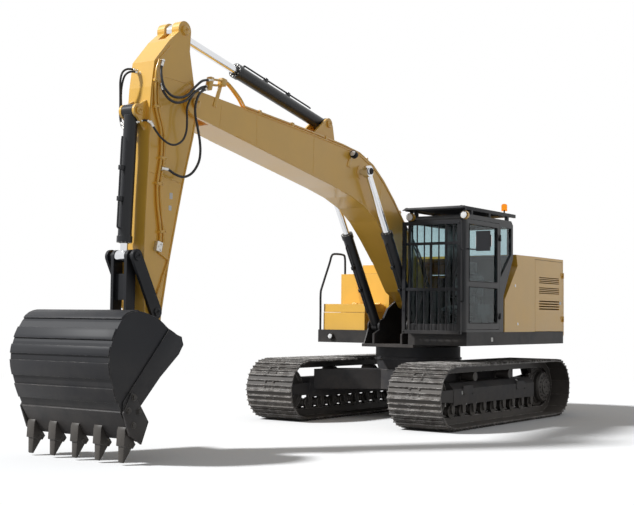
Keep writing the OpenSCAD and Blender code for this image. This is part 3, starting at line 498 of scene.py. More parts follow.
def wear_group():
    """Edge and patch masks, a rounded normal and a fine grain, all from Object coordinates."""
    group, start, end = new_group(
        "Surface wear", [("Edge Radius", 0.006), ("Grain Scale", 60.0), ("Patch Scale", 1.6)],
        [("Edges", "NodeSocketFloat"), ("Patches", "NodeSocketFloat"), ("Grain", "NodeSocketFloat"),
         ("Rounded", "NodeSocketVector")])
    where = object_space(group)
    bevel = wired(group, add_node(group, "ShaderNodeBevel", samples=4),
                  Radius=start.outputs["Edge Radius"])
    likeness = add_node(group, "ShaderNodeVectorMath", operation="DOT_PRODUCT")
    feed(group, likeness.inputs[0], bevel.outputs["Normal"])
    feed(group, likeness.inputs[1], add_node(group, "ShaderNodeNewGeometry").outputs["Normal"])
    broken = ramp(group, noise(group, where, 9.0, 6.0, 0.7), 0.42, 0.62)
    wired(group, end, Rounded=bevel.outputs["Normal"],
          Edges=combine(group, "MULTIPLY", ramp(group, likeness.outputs["Value"], 0.995, 0.90), broken),
          Patches=noise(group, where, start.outputs["Patch Scale"], 5.0),
          Grain=noise(group, where, start.outputs["Grain Scale"], 3.0, 0.6))
    return group


def dust_group():
    """Mask of dust that clings low down and lies on faces that look up, from Object coordinates."""
    group, start, end = new_group(
        "Settled dust", [("Bottom", 0.1), ("Top", 1.2), ("Cling", 0.6), ("On Tops", 0.5)],
        [("Dust", "NodeSocketFloat")])
    where = object_space(group)
    low = ramp(group, height_of(group, where), start.outputs["Bottom"], start.outputs["Top"], 1.0, 0.0)
    clouds = ramp(group, noise(group, where, 2.4, 9.0, 0.62), 0.36, 0.60, 0.35, 1.0)
    level = ramp(group, height_of(group, add_node(group, "ShaderNodeNewGeometry").outputs["Normal"]),
                 0.5, 0.95)
    drifts = ramp(group, noise(group, where, 5.0, 6.0), 0.38, 0.62)
    wired(group, end, Dust=combine(
        group, "MAXIMUM", combine(group, "MULTIPLY", low, clouds, start.outputs["Cling"]),
        combine(group, "MULTIPLY", level, drifts, start.outputs["On Tops"])))
    return group


def shaded(name):
    """New node material's tree and shader."""
    material = bpy.data.materials.new(name)
    material.use_nodes = True
    return material.node_tree, material.node_tree.nodes["Principled BSDF"]


def wear_node(tree, shop, share=1.0, **values):
    """The wear group in a material, with a share of the edge radius."""
    return wired(tree, add_node(tree, "ShaderNodeGroup", node_tree=shop["wear"]),
                 Edge_Radius=shop["edge_radius"] * share, **values)


def worn_paint(name, colour, worn, roughness, shop, coat=0.0, gloss=0.5, wear=0.35, peel=0.05,
               dust=(0.0, 0.0), bottom=0.1, top=1.2):
    """Enamel or dark steel with its edges mixed to a second colour (rubbed paint, and on the yellow also a painted
    highlight), cloudy patches, a fine grain and settled dust.
    """
    tree, shader = shaded(name)
    surface = wear_node(tree, shop)
    patches = surface.outputs["Patches"]
    colours = mix_colour(tree, patches, times(colour, 0.88), times(colour, 1.10))
    # Edges go to the second colour: rubbed paint, and on the yellow enamel also a painted highlight along the
    # edges
    colours = mix_colour(tree, combine(tree, "MULTIPLY", surface.outputs["Edges"], wear), colours, worn)
    film = wired(tree, add_node(tree, "ShaderNodeGroup", node_tree=shop["dust"]),
                 Bottom=bottom, Top=top, Cling=dust[0], On_Tops=dust[1]).outputs["Dust"]
    colours = mix_colour(tree, film, colours, shop["dust_colour"])
    rough = combine(tree, "MAXIMUM", ramp(tree, patches, 0.25, 0.75, roughness * 0.8, roughness * 1.2),
                    ramp(tree, film, 0.1, 0.6, roughness, 0.85))
    wired(tree, shader, Base_Color=colours, Roughness=rough, Coat_Weight=coat, Coat_Roughness=0.10,
          Specular_IOR_Level=gloss,
          Normal=relief(tree, surface.outputs["Grain"], peel, 0.001, Normal=surface.outputs["Rounded"]))


def bare_metal(name, colour, roughness, shop):
    """Bare metal with cloudy roughness."""
    tree, shader = shaded(name)
    surface = wear_node(tree, shop, 0.5)
    patches = surface.outputs["Patches"]
    wired(tree, shader, Base_Color=mix_colour(tree, patches, times(colour, 0.85), colour),
          Roughness=ramp(tree, patches, 0.3, 0.7, roughness * 0.7, roughness * 1.4),
          Normal=surface.outputs["Rounded"], Metallic=1.0)


def clear_pane(name, tint, roughness):
    """Tinted see-through pane."""
    tree, shader = shaded(name)
    wired(tree, shader, Base_Color=tint, Roughness=roughness, Transmission_Weight=1.0, IOR=1.22)


def ribbed_lens(name, tint):
    """Frosted lens with fine flutes."""
    tree, shader = shaded(name)
    flutes = stripes(tree, "Y", 24.0, 0.0)
    wired(tree, shader, Base_Color=mix_colour(tree, flutes, times(tint, 0.92), tint), Roughness=0.12,
          Coat_Weight=0.6, Coat_Roughness=0.05, Normal=relief(tree, flutes, 0.6, 0.002))


def woven(name, colour, scale):
    """Woven seat cloth with a fine over-and-under weave and a soft sheen."""
    tree, shader = shaded(name)
    weave = combine(tree, "MULTIPLY", *(stripes(tree, direction, scale, 0.6) for direction in ("Y", "Z")))
    wired(tree, shader, Base_Color=mix_colour(tree, weave, times(colour, 0.6), times(colour, 1.3)),
          Roughness=0.85, Sheen_Weight=0.3, Normal=relief(tree, weave, 0.5, 0.001))


def rubber(name, colour, roughness, scale, depth, shop):
    """Moulded rubber or plastic with a fine grain."""
    tree, shader = shaded(name)
    surface = wear_node(tree, shop, 0.5, Grain_Scale=scale)
    grain = surface.outputs["Grain"]
    wired(tree, shader, Specular_IOR_Level=0.35,
          Base_Color=mix_colour(tree, surface.outputs["Patches"], times(colour, 0.8), times(colour, 1.2)),
          Roughness=ramp(tree, grain, 0.3, 0.7, roughness * 0.85, min(1, roughness * 1.15)),
          Normal=relief(tree, grain, 0.35, depth))


def studded(name, colour):
    """Black tread plate with rows of raised studs."""
    tree, shader = shaded(name)
    studs = wired(tree, add_node(tree, "ShaderNodeTexVoronoi"), Vector=object_space(tree), Scale=32.0,
                  Randomness=0.0)
    dome = ramp(tree, studs.outputs["Distance"], 0.38, 0.18)
    wired(tree, shader, Base_Color=mix_colour(tree, dome, colour, times(colour, 3)), Roughness=0.7,
          Specular_IOR_Level=0.3, Normal=relief(tree, dome, 0.8, 0.004))


# Finish of a piece, as its material and the record's slot
FINISHES = {
    "yellow": ("yellow_enamel", "yellow_paint"),
    "black": ("black_enamel", "black_paint"),
    "gloss black": ("gloss_black_enamel", "black_paint"),
    "bucket": ("bucket_enamel", "black_paint"),
    "frame": ("dusty_frame_enamel", "black_paint"),
    "steel": ("chain_steel", "track_steel"),
    "worn steel": ("worn_steel", "track_steel"),
    "chrome": ("polished_rod", "chrome_rod"),
    "zinc": ("zinc_fitting", "chrome_rod"),
    "mirror": ("mirror_glass", "chrome_rod"),
    "pane": ("cab_pane", "pane"),
    "amber": ("beacon_lens", "amber_lens"),
    "lens": ("lamp_lens", None),
    "white": ("white_plate", None),
    "plastic": ("moulded_plastic", "black_plastic"),
    "rubber": ("hose_rubber", "black_plastic"),
    "tread": ("tread_plate", "black_plastic"),
    "cloth": ("seat_cloth", "seat_fabric"),
}

FINISH_OF = {
    "yellow": ["counterweight", "engine_hood", "housing", "left_rear_door", "right_rear_door", "fuel_tank",
               "hydraulic_tank", "storage_box", "storage_lid", "boom", "boom_pipes", "arm"],
    "black": ["revolving_frame", "front_guard", "roof_guard", "handrails", "side_mirror", "engine",
              "rocker", "h_link"],
    "gloss black": ["cab_shell", "cab_door", "boom_cylinder_barrels", "arm_cylinder_barrel",
                    "bucket_cylinder_barrel"],
    "bucket": ["bucket"],
    "frame": ["carbody", "swing_bearing", "left_side_frame", "right_side_frame"],
    "steel": ["left_track", "right_track", "idlers", "sprockets", "left_rollers", "right_rollers"],
    "worn steel": ["bucket_teeth"],
    "chrome": ["boom_cylinder_rods", "arm_cylinder_rod", "bucket_cylinder_rod"],
    "pane": ["cab_glass", "cab_door_glass"],
    "amber": ["beacon"],
    "plastic": ["operator_seat", "controls"],
}


class EXCAVATOR_OT_finishes(bpy.types.Operator):
    """Make the finishes and paint every CAD node"""
    bl_idname = "excavator.finishes"
    bl_label = "Paint the nodes"

    def execute(self, context):
        look = context.scene.excavator_finishes
        shop = {"wear": wear_group(), "dust": dust_group(), "edge_radius": look.edge_radius,
                "dust_colour": tuple(look.dust)}
        thick_plate = dict(shop, edge_radius=look.edge_radius * 2)
        yellow, black, steel = tuple(look.yellow), tuple(look.black), tuple(look.steel)
        primer = (0.09, 0.09, 0.095)
        # The yellow's edges go to a paler yellow: partly rubbed paint, partly a painted highlight along the edges
        worn_paint("yellow_enamel", yellow, (0.90, 0.66, 0.30), 0.36, shop, coat=0.5, wear=look.wear,
                   dust=(0.25, 0.10), bottom=0.9, top=1.5)
        worn_paint("black_enamel", black, primer, 0.5, shop, gloss=0.22, wear=look.wear,
                   dust=(0.25, 0.12), bottom=0.9, top=1.6)
        worn_paint("gloss_black_enamel", black, primer, 0.36, shop, gloss=0.3, coat=0.06,
                   wear=look.wear, dust=(0.12, 0.08), bottom=1.0, top=1.8)
        worn_paint("bucket_enamel", times(black, 1.3), (0.34, 0.32, 0.30), 0.5, shop, gloss=0.22,
                   wear=1.0, peel=0.15, dust=(0.30, 0.04), bottom=-0.2, top=1.2)
        worn_paint("dusty_frame_enamel", times(black, 2), (0.30, 0.29, 0.28), 0.6, shop, gloss=0.25,
                   wear=0.8, peel=0.25, dust=(0.32, 0.2), bottom=0.1, top=1.3)
        worn_paint("chain_steel", steel, (0.78, 0.76, 0.73), 0.5, thick_plate, gloss=0.3, wear=1.0,
                   peel=0.4, dust=(0.30, 0.25), bottom=0.0, top=1.4)
        worn_paint("worn_steel", (0.040, 0.037, 0.034), (0.30, 0.28, 0.26), 0.45, shop, gloss=0.3, wear=1.0,
                   peel=0.3, dust=(0.2, 0.1), bottom=-0.1, top=0.9)
        bare_metal("polished_rod", (0.80, 0.81, 0.83), 0.12, shop)
        bare_metal("zinc_fitting", (0.62, 0.61, 0.58), 0.32, shop)
        bare_metal("mirror_glass", (0.85, 0.87, 0.88), 0.03, shop)
        clear_pane("cab_pane", tuple(look.glass), 0.0)
        clear_pane("beacon_lens", (0.95, 0.30, 0.01), 0.12)
        ribbed_lens("lamp_lens", (0.88, 0.89, 0.90))
        rubber("white_plate", (0.78, 0.78, 0.75), 0.35, 120.0, 0.0003, shop)
        rubber("moulded_plastic", (0.020, 0.021, 0.023), 0.55, 160.0, 0.0006, shop)
        rubber("hose_rubber", (0.016, 0.016, 0.017), 0.48, 240.0, 0.0006, shop)
        studded("tread_plate", (0.022, 0.022, 0.024))
        woven("seat_cloth", (0.085, 0.088, 0.095), 90.0)
        for finish, nodes in FINISH_OF.items():
            for node in nodes:
                paint(node, bpy.data.materials[FINISHES[finish][0]])
        return {"FINISHED"}


def paint(node, material):
    """Gives a CAD node one material in all its slots."""
    slots = NODES[node].material_slots
    if not slots:
        NODES[node].data.materials.append(material)
    for slot in slots:
        slot.material = material


# Hoses

def hose(name, points, diameter, bodies, start, end):
    """Hose along a smooth line, as a fixed rubber tube in the row frame."""
    line = smooth_line(points)
    piece = fitted(tube(line, diameter / 2, 16), name, None, "rubber", smooth=60)
    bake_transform(piece)
    return line


def crimp(line_end, line_next, diameter, body, name):
    """Crimped collar with a hexagon nut where a hose meets its pipe."""
    collar = turned(diameter * 0.62, diameter * 1.9, 20, (diameter * 0.06, diameter * 0.1), test=end_face)
    nut = bolt_head(diameter * 1.5, diameter * 0.7, washer=False)
    nut.location = (0, 0, -diameter * 0.6)
    place = (line_end, (line_next - line_end).normalized())
    fitted(repeated(joined([collar, nut]), [place]), name, body, "zinc")


# Hoses from the boom's tip to the arm as name, diameter's name, whether they hang low, and points
TIP_HOSES = [
    ("arm_hose_front", "hose", False, [
        (5.233, 0.250, 4.197), (5.389, 0.262, 4.160), (5.532, 0.275, 4.061), (5.662, 0.290, 3.955),
        (5.799, 0.295, 3.898), (5.938, 0.290, 3.898), (6.031, 0.270, 3.972), (6.051, 0.245, 4.078),
        (6.029, 0.215, 4.186), (5.995, 0.204, 4.270)]),
    ("arm_hose_rear", "hose", False, [
        (5.232, 0.215, 4.134), (5.388, 0.235, 4.082), (5.548, 0.265, 3.987), (5.697, 0.290, 3.884),
        (5.848, 0.300, 3.831), (5.960, 0.285, 3.849), (6.012, 0.250, 3.919), (6.015, 0.212, 4.000)]),
    ("curl_supply_hose", "small_hose", True, [
        (5.247, 0.235, 4.095), (5.410, 0.250, 4.063), (5.557, 0.270, 3.972), (5.669, 0.285, 3.813),
        (5.677, 0.292, 3.675), (5.689, 0.295, 3.536), (5.753, 0.300, 3.425), (5.871, 0.300, 3.360),
        (5.978, 0.290, 3.363), (6.073, 0.260, 3.426), (6.128, 0.222, 3.514), (6.150, 0.196, 3.570)]),
    ("arm_side_hose", "hose", True, [
        (5.281, 0.235, 4.094), (5.444, 0.270, 4.005), (5.546, 0.300, 3.858), (5.581, 0.330, 3.726),
        (5.552, 0.340, 3.593), (5.511, 0.340, 3.447), (5.493, 0.335, 3.313), (5.508, 0.320, 3.195),
        (5.586, 0.300, 3.079), (5.687, 0.270, 3.025), (5.800, 0.245, 3.042), (5.895, 0.225, 3.086),
        (5.955, 0.208, 3.092)]),
]
# Hoses from the arm to the bucket cylinder
PORT_LOOPS = [
    ("curl_port_hose_left", [
        (6.150, 0.196, 3.570), (6.170, 0.165, 3.592), (6.190, 0.120, 3.600), (6.235, 0.082, 3.580)]),
    ("curl_port_hose_right", [
        (6.108, -0.080, 4.185), (6.180, -0.095, 4.190), (6.242, -0.110, 4.176), (6.286, -0.125, 4.130),
        (6.296, -0.140, 4.040), (6.282, -0.152, 3.930), (6.270, -0.160, 3.800), (6.275, -0.155, 3.680),
        (6.285, -0.130, 3.590), (6.292, -0.082, 3.550)]),
    ("curl_port_hose_middle", [
        (6.122, -0.035, 4.150), (6.180, -0.050, 4.155), (6.230, -0.075, 4.145), (6.262, -0.110, 4.100),
        (6.268, -0.140, 4.010), (6.255, -0.165, 3.900), (6.243, -0.172, 3.780), (6.250, -0.168, 3.650),
        (6.265, -0.140, 3.560), (6.280, -0.082, 3.510)]),
]
# Where those hoses bend between boom and arm, for ones that hang low and ones that don't
TIP_BENDS = {False: ((5.28, 0, TIP.z), (5.95, 0, TIP.z)), True: ((5.28, 0, 4.15), (5.90, 0, 3.45))}
# Steel pipes at the boom's tip as along, up, share of the way outwards and the inner pipe's drop
TIP_PIPE = [(4.88, 0.435, 0.0, 0.0), (5.03, 0.478, 0.3, 0.0), (5.32, 0.500, 0.8, 0.0),
            (5.45, 0.450, 1.0, 0.06), (5.60, 0.375, 1.0, 0.06)]
# Each pipe's place across at its two ends and whether it drops
TIP_PIPES = [(0.15, 0.215, 1), (0.19, 0.250, 0)]
# Plates that hold those pipes as side-view outline, places across and edge radius
TIP_PLATES = [
    ([(5.37, 0.14), (5.43, 0.12), (5.44, 0.50), (5.38, 0.52)], 0.2148, 0.224, 0.003),
    ([(5.36, 0.42), (5.44, 0.40), (5.45, 0.49), (5.37, 0.51)], 0.196, 0.268, 0.006),
    ([(5.56, 0.25), (5.62, 0.23), (5.64, 0.39), (5.58, 0.41)], 0.200, 0.266, 0.006),
]
# Hoses at the boom's foot: places across, their line on the boom as along, up and share of the place
# across, their line below it as x, z, and where they bend
FOOT_HOSES = (-0.19, -0.15, 0.15, 0.19)
FOOT_SHARE = 0.9
FOOT_LINE = [(0.96, 0.775, 1.0), (0.84, 0.735, 1.0), (0.64, 0.67, 0.98), (0.42, 0.58, 0.95),
             (0.20, 0.46, 0.92), (0.02, 0.31, FOOT_SHARE)]
FOOT_LOOP = [(-0.04, 1.92), (-0.09, 1.77), (-0.10, 1.62), (-0.10, 1.49)]
FOOT_BEND = ((0.60, 0, 2.62), (-0.10, 0, 1.75))
# Point of the foot hose's line that its marking band sits on
BAND_POINT = 9


class EXCAVATOR_OT_hoses(bpy.types.Operator):
    """Add the hoses at the boom's tip and foot and the bucket cylinder, and the tip's steel pipes"""
    bl_idname = "excavator.hoses"
    bl_label = "Add the hoses"

    def execute(self, context):
        fittings = context.scene.excavator_fittings
        wide, small = fittings.hose, fittings.small_hose
        for name, size, low, points in TIP_HOSES:
            across = getattr(fittings, size)
            line = hose(name, [Vector(p) for p in points], across, ("boom", "arm"), *TIP_BENDS[low])
            crimp(line[0], line[1], across, "boom", f"{name}_boom_crimp")
            crimp(line[-1], line[-2], across, "arm", f"{name}_arm_crimp")
        for name, points in PORT_LOOPS:
            line = hose(name, [Vector(p) for p in points], small, ("arm", "bucket_barrel"),
                        start=points[0], end=points[-1])
            crimp(line[0], line[1], small, "arm", f"{name}_arm_crimp")
            crimp(line[-1], line[-2], small, "bucket_barrel", f"{name}_crimp")
        pipes = []
        for y, spread, drops in TIP_PIPES:
            points = [on_boom(along, up - drop * drops, y + (spread - y) * share)
                      for along, up, share, drop in TIP_PIPE]
            pipes.append(tube(smooth_line(points, 6), 0.014, 12))
        pipes += [plate_of(outline, on_boom, *sizes) for outline, *sizes in TIP_PLATES]
        fitted(joined(pipes), "boom_tip_pipes", "boom", "yellow", smooth=45)
        for i, y in enumerate(FOOT_HOSES):
            points = [on_boom(along, up, y * share) for along, up, share in FOOT_LINE]
            points += [Vector((x, y * FOOT_SHARE, z)) for x, z in FOOT_LOOP]
            line = hose(f"boom_foot_hose_{i}", points, wide, ("boom", "upper"), *FOOT_BEND)
            crimp(line[0], line[1], wide, "boom", f"boom_foot_crimp_{i}")
            band = turned(wide * 0.56, 0.05, 20, (0.002, 0.001), test=end_face)
            spot, onwards = line[BAND_POINT:BAND_POINT + 2]
            band = repeated(band, [(spot, (onwards - spot).normalized())])
            fitted(band, f"hose_band_{i}", "boom", "white")
        return {"FINISHED"}


# Undercarriage

# Middle of a track in x and y, and the height of a shoe's face over the chain's line
TRACK_X, TRACK_Y = 0.070, 1.191
SHOE_FACE = 0.064
SHOES = 47
# Half the distance between the wheels that the chain runs round, their height and radius
CHAIN = (1.6935, 0.440, 0.350)
# Shoe bolts' places about a shoe's middle, along and across the track
SHOE_BOLTS = [(along, across) for along in (-0.038, 0.038) for across in (-0.0725, 0.0725)]
# Bolt circles on the final drive and the idler as x, z, radius and count
BOLT_CIRCLES = [(-1.6235, 0.440, 0.168, 14), (-1.6235, 0.440, 0.070, 4), (1.7635, 0.440, 0.048, 6)]
# Covers on the side frame as width, height and thickness, their bolts and their places as x, z
FRAME_COVER = (0.30, 0.13, 0.008)
COVER_BOLTS = [(x, z) for x in (-0.13, 0.13) for z in (-0.047, 0.047)]
COVER_PLACES = [(0.95, 0.50), (-0.75, 0.50)]
# Share of a cover bolt's size that smaller bolts have
SMALL_BOLT = 0.8


def chain_pins():
    """Places of the chain's pins as x, z in the track's own plane, in travel order."""
    half, height, radius = CHAIN
    turn, lap = math.pi * radius, math.pi * radius + 2 * half
    pins = []
    for k in range(SHOES):
        laps, run = divmod((k + 0.5) * 2 * lap / SHOES, lap)
        flip = 1 if laps else -1
        if run < turn:
            x, z = half + radius * math.sin(run / radius), radius * math.cos(run / radius)
        else:
            x, z = half - (run - turn), -radius
        pins.append(Vector((flip * x, height + flip * z)))
    return pins


class EXCAVATOR_OT_undercarriage(bpy.types.Operator):
    """Bolt the track shoes, the final drives and the idlers, and cover the side frames"""
    bl_idname = "excavator.undercarriage"
    bl_label = "Bolt the undercarriage"

    def execute(self, context):
        fittings = context.scene.excavator_fittings
        pins = chain_pins()
        for word, side in (("left", 1), ("right", -1)):
            places = []
            for a, b in zip(pins, pins[1:] + pins[:1]):
                way = (b - a).normalized()
                face = Vector((-way.y, way.x))
                for along, across in SHOE_BOLTS:
                    spot = (a + b) / 2 + way * along + face * SHOE_FACE
                    point = Vector((spot.x + TRACK_X, side * TRACK_Y + across, spot.y))
                    places.append((point, Vector((face.x, 0, face.y)), 0.4))
            fitted(repeated(bolt_head(fittings.shoe_bolt, 0.015), places), f"{word}_shoe_bolts",
                   "undercarriage", "steel")
            out = Vector((0, side, 0))
            places = []
            for x, z, radius, count in BOLT_CIRCLES:
                for a in (math.tau * k / count for k in range(count)):
                    spot = Vector((x + radius * math.cos(a), 0, z + radius * math.sin(a)))
                    places.append((side_place(spot, side)[0], out, a))
            fitted(repeated(bolt_head(fittings.bolt, 0.013), places), f"{word}_drive_bolts",
                   "undercarriage", "frame")
            heads = repeated(bolt_head(fittings.bolt * SMALL_BOLT, 0.009),
                             [(Vector((x, z, FRAME_COVER[2])), UP) for x, z in COVER_BOLTS])
            cover = joined([blank_plate(*FRAME_COVER), heads])
            turn = 0 if side > 0 else math.pi
            places = [(side_place(Vector((x, 0, z)), side)[0], out, turn) for x, z in COVER_PLACES]
            fitted(repeated(cover, places), f"{word}_frame_covers", "undercarriage", "frame")
        return {"FINISHED"}


# Pins, cylinders and welds

# Pins with caps as place, radius and the nodes that the caps sit on
PIN_ENDS = [
    (FOOT, 0.055, ["revolving_frame"]), (TIP, 0.060, None), (LIFT_EYE, 0.045, None),
    (CROWD_BASE, 0.050, ["boom"]), (CROWD_EYE, 0.055, ["arm"]), (CURL_BASE, 0.045, ["arm"]),
    (ROCKER_PIN, 0.045, ["rocker"]), (KNUCKLE, 0.050, ["rocker"]), (LINK_PIN, 0.045, ["bucket"]),
    (BUCKET_PIN, 0.055, ["bucket"]),
]

# Cylinders as body, base pin, eye, place across, barrel's length and radius, rod's radius, side of the
# pipe and where the barrel's foot ends
CYLINDERS = {
    "left_lift": ("boom_barrels", LIFT_BASE, LIFT_EYE, 0.335, 1.558, 0.075, 0.045, -1, 0.148),
    "right_lift": ("boom_barrels", LIFT_BASE, LIFT_EYE, -0.335, 1.558, 0.075, 0.045, -1, 0.148),
    "crowd": ("arm_barrel", CROWD_BASE, CROWD_EYE, 0.0, 1.900, 0.084, 0.050, 1, 0.152),
    "curl": ("bucket_barrel", CURL_BASE, KNUCKLE, 0.0, 1.440, 0.075, 0.042, 1, 0.146),
}
GLAND_SCREWS = 10
# Shares of the pipe's run where its inner points and its clamps lie
RUN_POINTS, RUN_CLAMPS = (0.25, 0.5, 0.75), (0.30, 0.62)

# Side-view outlines of the boom and the arm as along, bottom, top, and their seams' two ends
BOOM_SIDE = [(0.46, -0.095, 0.430), (0.96, 0.165, 0.745), (1.37, 0.330, 0.925), (1.72, 0.447, 1.050),
             (2.05, 0.500, 1.125), (2.43, 0.478, 1.120), (2.85, 0.410, 1.020), (3.60, 0.262, 0.805),
             (4.30, 0.125, 0.590), (4.90, 0.005, 0.405)]
ARM_SIDE = [(-0.50, 0.175, 0.500), (-0.24, 0.050, 0.670), (0.06, -0.100, 0.670), (0.363, -0.105, 0.630),
            (0.85, -0.070, 0.540), (1.303, -0.055, 0.470), (1.903, -0.040, 0.365), (2.44, -0.050, 0.225)]
BOOM_SEAMS = [((5.30, 0.235), (5.22, -0.045)), ((3.498, 0.80), (3.334, 0.345)),
              ((1.791, 1.04), (1.66, 0.46)), ((4.66, 0.44), (4.52, 0.10))]
ARM_SEAMS = [((-0.10, 0.63), (-0.20, 0.07)), ((0.98, 0.49), (0.95, -0.04)), ((2.30, 0.25), (2.27, -0.03))]
# Width of the edge flanges, how far they stand out and how deep they sit in the wall
FLANGE_WIDTH, FLANGE_RISE, SEAT = 0.020, 0.009, 0.0005
# Share of a bead's width that is sunk in, and how far a wall may turn off before the bead stops
BEAD_SUNK, BEAD_REACH = 0.18, 0.004


def pin_cap(radius):
    """Chamfered pin end with a grease nipple between two bolts."""
    cap = turned(radius, 0.010, 32, (radius * 0.12, 0.004), (radius * 0.40, 0.0), (radius * 0.05, -0.003))
    nipple = turned(0.006, 0.022, 10, (0.002, 0.004))
    heads = [(Vector((x, 0, 0.012)), UP) for x in (-radius * 0.6, radius * 0.6)]
    return joined([cap, nipple, repeated(bolt_head(0.020, 0.010), heads)])


def cap_pins():
    """Caps both ends of every pin, with the steel end showing in the cap."""
    ends = {}
    for pin, radius, nodes in PIN_ENDS:
        for side in (1, -1):
            place, _, name = side_place(pin, side, nodes)
            ends.setdefault(BODY_OF[name], []).append((radius, place, Vector((0, side, 0))))
    for body, caps in ends.items():
        pieces = [repeated(pin_cap(radius), [(place, out, 0.5)]) for radius, place, out in caps]
        painted = "yellow" if body in ("boom", "arm") else "black"
        fitted(joined(pieces), f"{body}_pin_caps", body, painted)
        bores = [repeated(turned(radius * 0.40, 0.0165, 24, (radius * 0.05, -0.001)), [(place, out)])
                 for radius, place, out in caps]
        fitted(joined(bores), f"{body}_pin_ends", body, "steel")


def dress_cylinder(name, body, base, eye, y, length, radius, rod, port, foot):
    """Gland screws, a rod wiper and a clamped pipe on a cylinder's barrel."""
    way = (eye - base).normalized()
    up = Vector((-way.z, 0, way.x)) * port

    def at(s, t):
        return base + way * s + up * t + Vector((0, y, 0))

    circle = (rod + radius + 0.012) / 2
    angles = [math.tau * (k + 0.5) / GLAND_SCREWS for k in range(GLAND_SCREWS)]
    places = [(at(length, 0) + (up * math.cos(a) + LEFT * math.sin(a)) * circle, way) for a in angles]
    socket = turned(0.009, 0.008, 12, (0.003, 0.0), (0.001, -0.005))
    fitted(repeated(socket, places), f"{name}_gland_screws", body, "zinc")
    wiper = ring(rod + 0.005, 0.006, 32)
    fitted(repeated(wiper, [(at(length + 0.003, 0), way)]), f"{name}_rod_wiper", body, "rubber")
    far, near, rise = length - 0.150, foot + 0.09, radius + 0.042
    run = [at(far * (1 - share) + near * share, rise) for share in RUN_POINTS]
    line = smooth_line([at(far, radius + 0.012), at(far, radius + 0.028), at(far - 0.012, rise - 0.003),
                        at(far - 0.035, rise), *run, at(near + 0.12, rise),
                        at(near + 0.06, rise - 0.004)], 5)
    block = slab((-0.022, -0.026, 0), (0.022, 0.026, rise - radius + 0.018), 0.004)
    clamps = [(at(far * (1 - share) + near * share, radius - 0.003), up) for share in RUN_CLAMPS]
    fitted(joined([tube(line, 0.011, 12), repeated(block, clamps)]), f"{name}_cylinder_pipe", body,
           "gloss black")


def weld_member(name, place, outline, seams, width):
    """Weld beads along the seams and flanges along the edges, on both sides of the boom or the arm."""
    lower = [(s, low) for s, low, _ in outline[1:]]
    upper = [(s, top) for s, _, top in outline]
    strips = ([(s, t + FLANGE_WIDTH) for s, t in lower] + lower[::-1],
              [(s, t - FLANGE_WIDTH) for s, t in upper] + upper[::-1])
    beads, flanges = [], []
    for side in (1, -1):
        start, end = seams[1]
        wall = side_place(place(*start, 0).lerp(place(*end, 0), 0.5), side, [name])[0].y
        flanges += [plate_of(strip, place, wall - side * SEAT, wall + side * FLANGE_RISE)
                    for strip in strips]
        for start, end in seams:
            spots = smooth_line([place(*Vector(start).lerp(Vector(end), k / 4), 0) for k in range(5)], 5)
            seated = [side_place(spot, side, [name])[0] - Vector((0, side * width * BEAD_SUNK, 0))
                      for spot in spots]
            middle = sorted(abs(p.y) for p in seated)[len(seated) // 2]
            seated = [p for p in seated if abs(abs(p.y) - middle) < BEAD_REACH]
            beads.append(tube(seated, width / 2, 8))
    fitted(joined(beads), f"{name}_weld_beads", name, "yellow", smooth=60)
    fitted(joined(flanges), f"{name}_flanges", name, "yellow")


class EXCAVATOR_OT_linkage(bpy.types.Operator):
    """Cap the pins, pipe and bolt the cylinders, and give the boom and the arm welds and flanges"""
    bl_idname = "excavator.linkage"
    bl_label = "Fit the linkage"

    def execute(self, context):
        weld = context.scene.excavator_fittings.weld
        cap_pins()
        for name, sizes in CYLINDERS.items():
            dress_cylinder(name, *sizes)
        weld_member("boom", on_boom, BOOM_SIDE, BOOM_SEAMS, weld)
        weld_member("arm", on_arm, ARM_SIDE, ARM_SEAMS, weld)
        return {"FINISHED"}


# Bucket

BUCKET_HALF = 0.720
SHELL = [(0.015, 0.290), (0.048, 0.422), (0.077, 0.608), (0.200, 0.858), (0.390, 0.985), (0.690, 0.936),
         (0.901, 0.780), (1.082, 0.439), (1.195, 0.060)]
SHELL_CENTRE = Vector((0.430, 0.430, 0))
SHELL_STEPS = 8
# Wear strips as the first and last step along the shell, and their height above it
WEAR_STRIPS = [(25, 33), (36, 39), (41, 44), (46, 50), (52, 55), (57, 64)]
STRIP_HEIGHT = 0.016
EDGE_PLATE = [(0.031, 0.344), (0.0, 0.205), (0.033, 0.141), (0.114, 0.135), (0.523, 0.200), (0.906, 0.222),
              (1.095, 0.372), (1.021, 0.439), (0.548, 0.429), (0.052, 0.418)]
SIDE_CUTTER = [(0.880, 0.432), (1.113, 0.382), (1.225, 0.162), (1.212, 0.126), (1.190, -0.030),
               (0.957, 0.040), (0.912, 0.222)]
CUTTER_BOLTS = [(0.909, 0.373), (1.055, 0.345), (0.972, 0.224), (1.119, 0.196)]
TEETH = 5
# How far the outer teeth stand in from the bucket's sides
TOOTH_EDGE = 0.062
# Steps of the shell that an adapter lies on, its toe about the lip, and its top over the shell
ADAPTER_STEPS = 5
ADAPTER_TOE = ((0.0023, -0.014), (0.014, -0.062), (0.070, -0.060), (0.128, 0.060))
ADAPTER_TOP = (0.050, 0.022)
# Tip of a tooth along and up, its side view's other corners about the lip, and how far it narrows
TOOTH_TIP = 1.436
TOOTH_HEEL = ((0.030, -0.045), (0.118, 0.048), (0.090, 0.050))
TOOTH_TAPER = 0.38


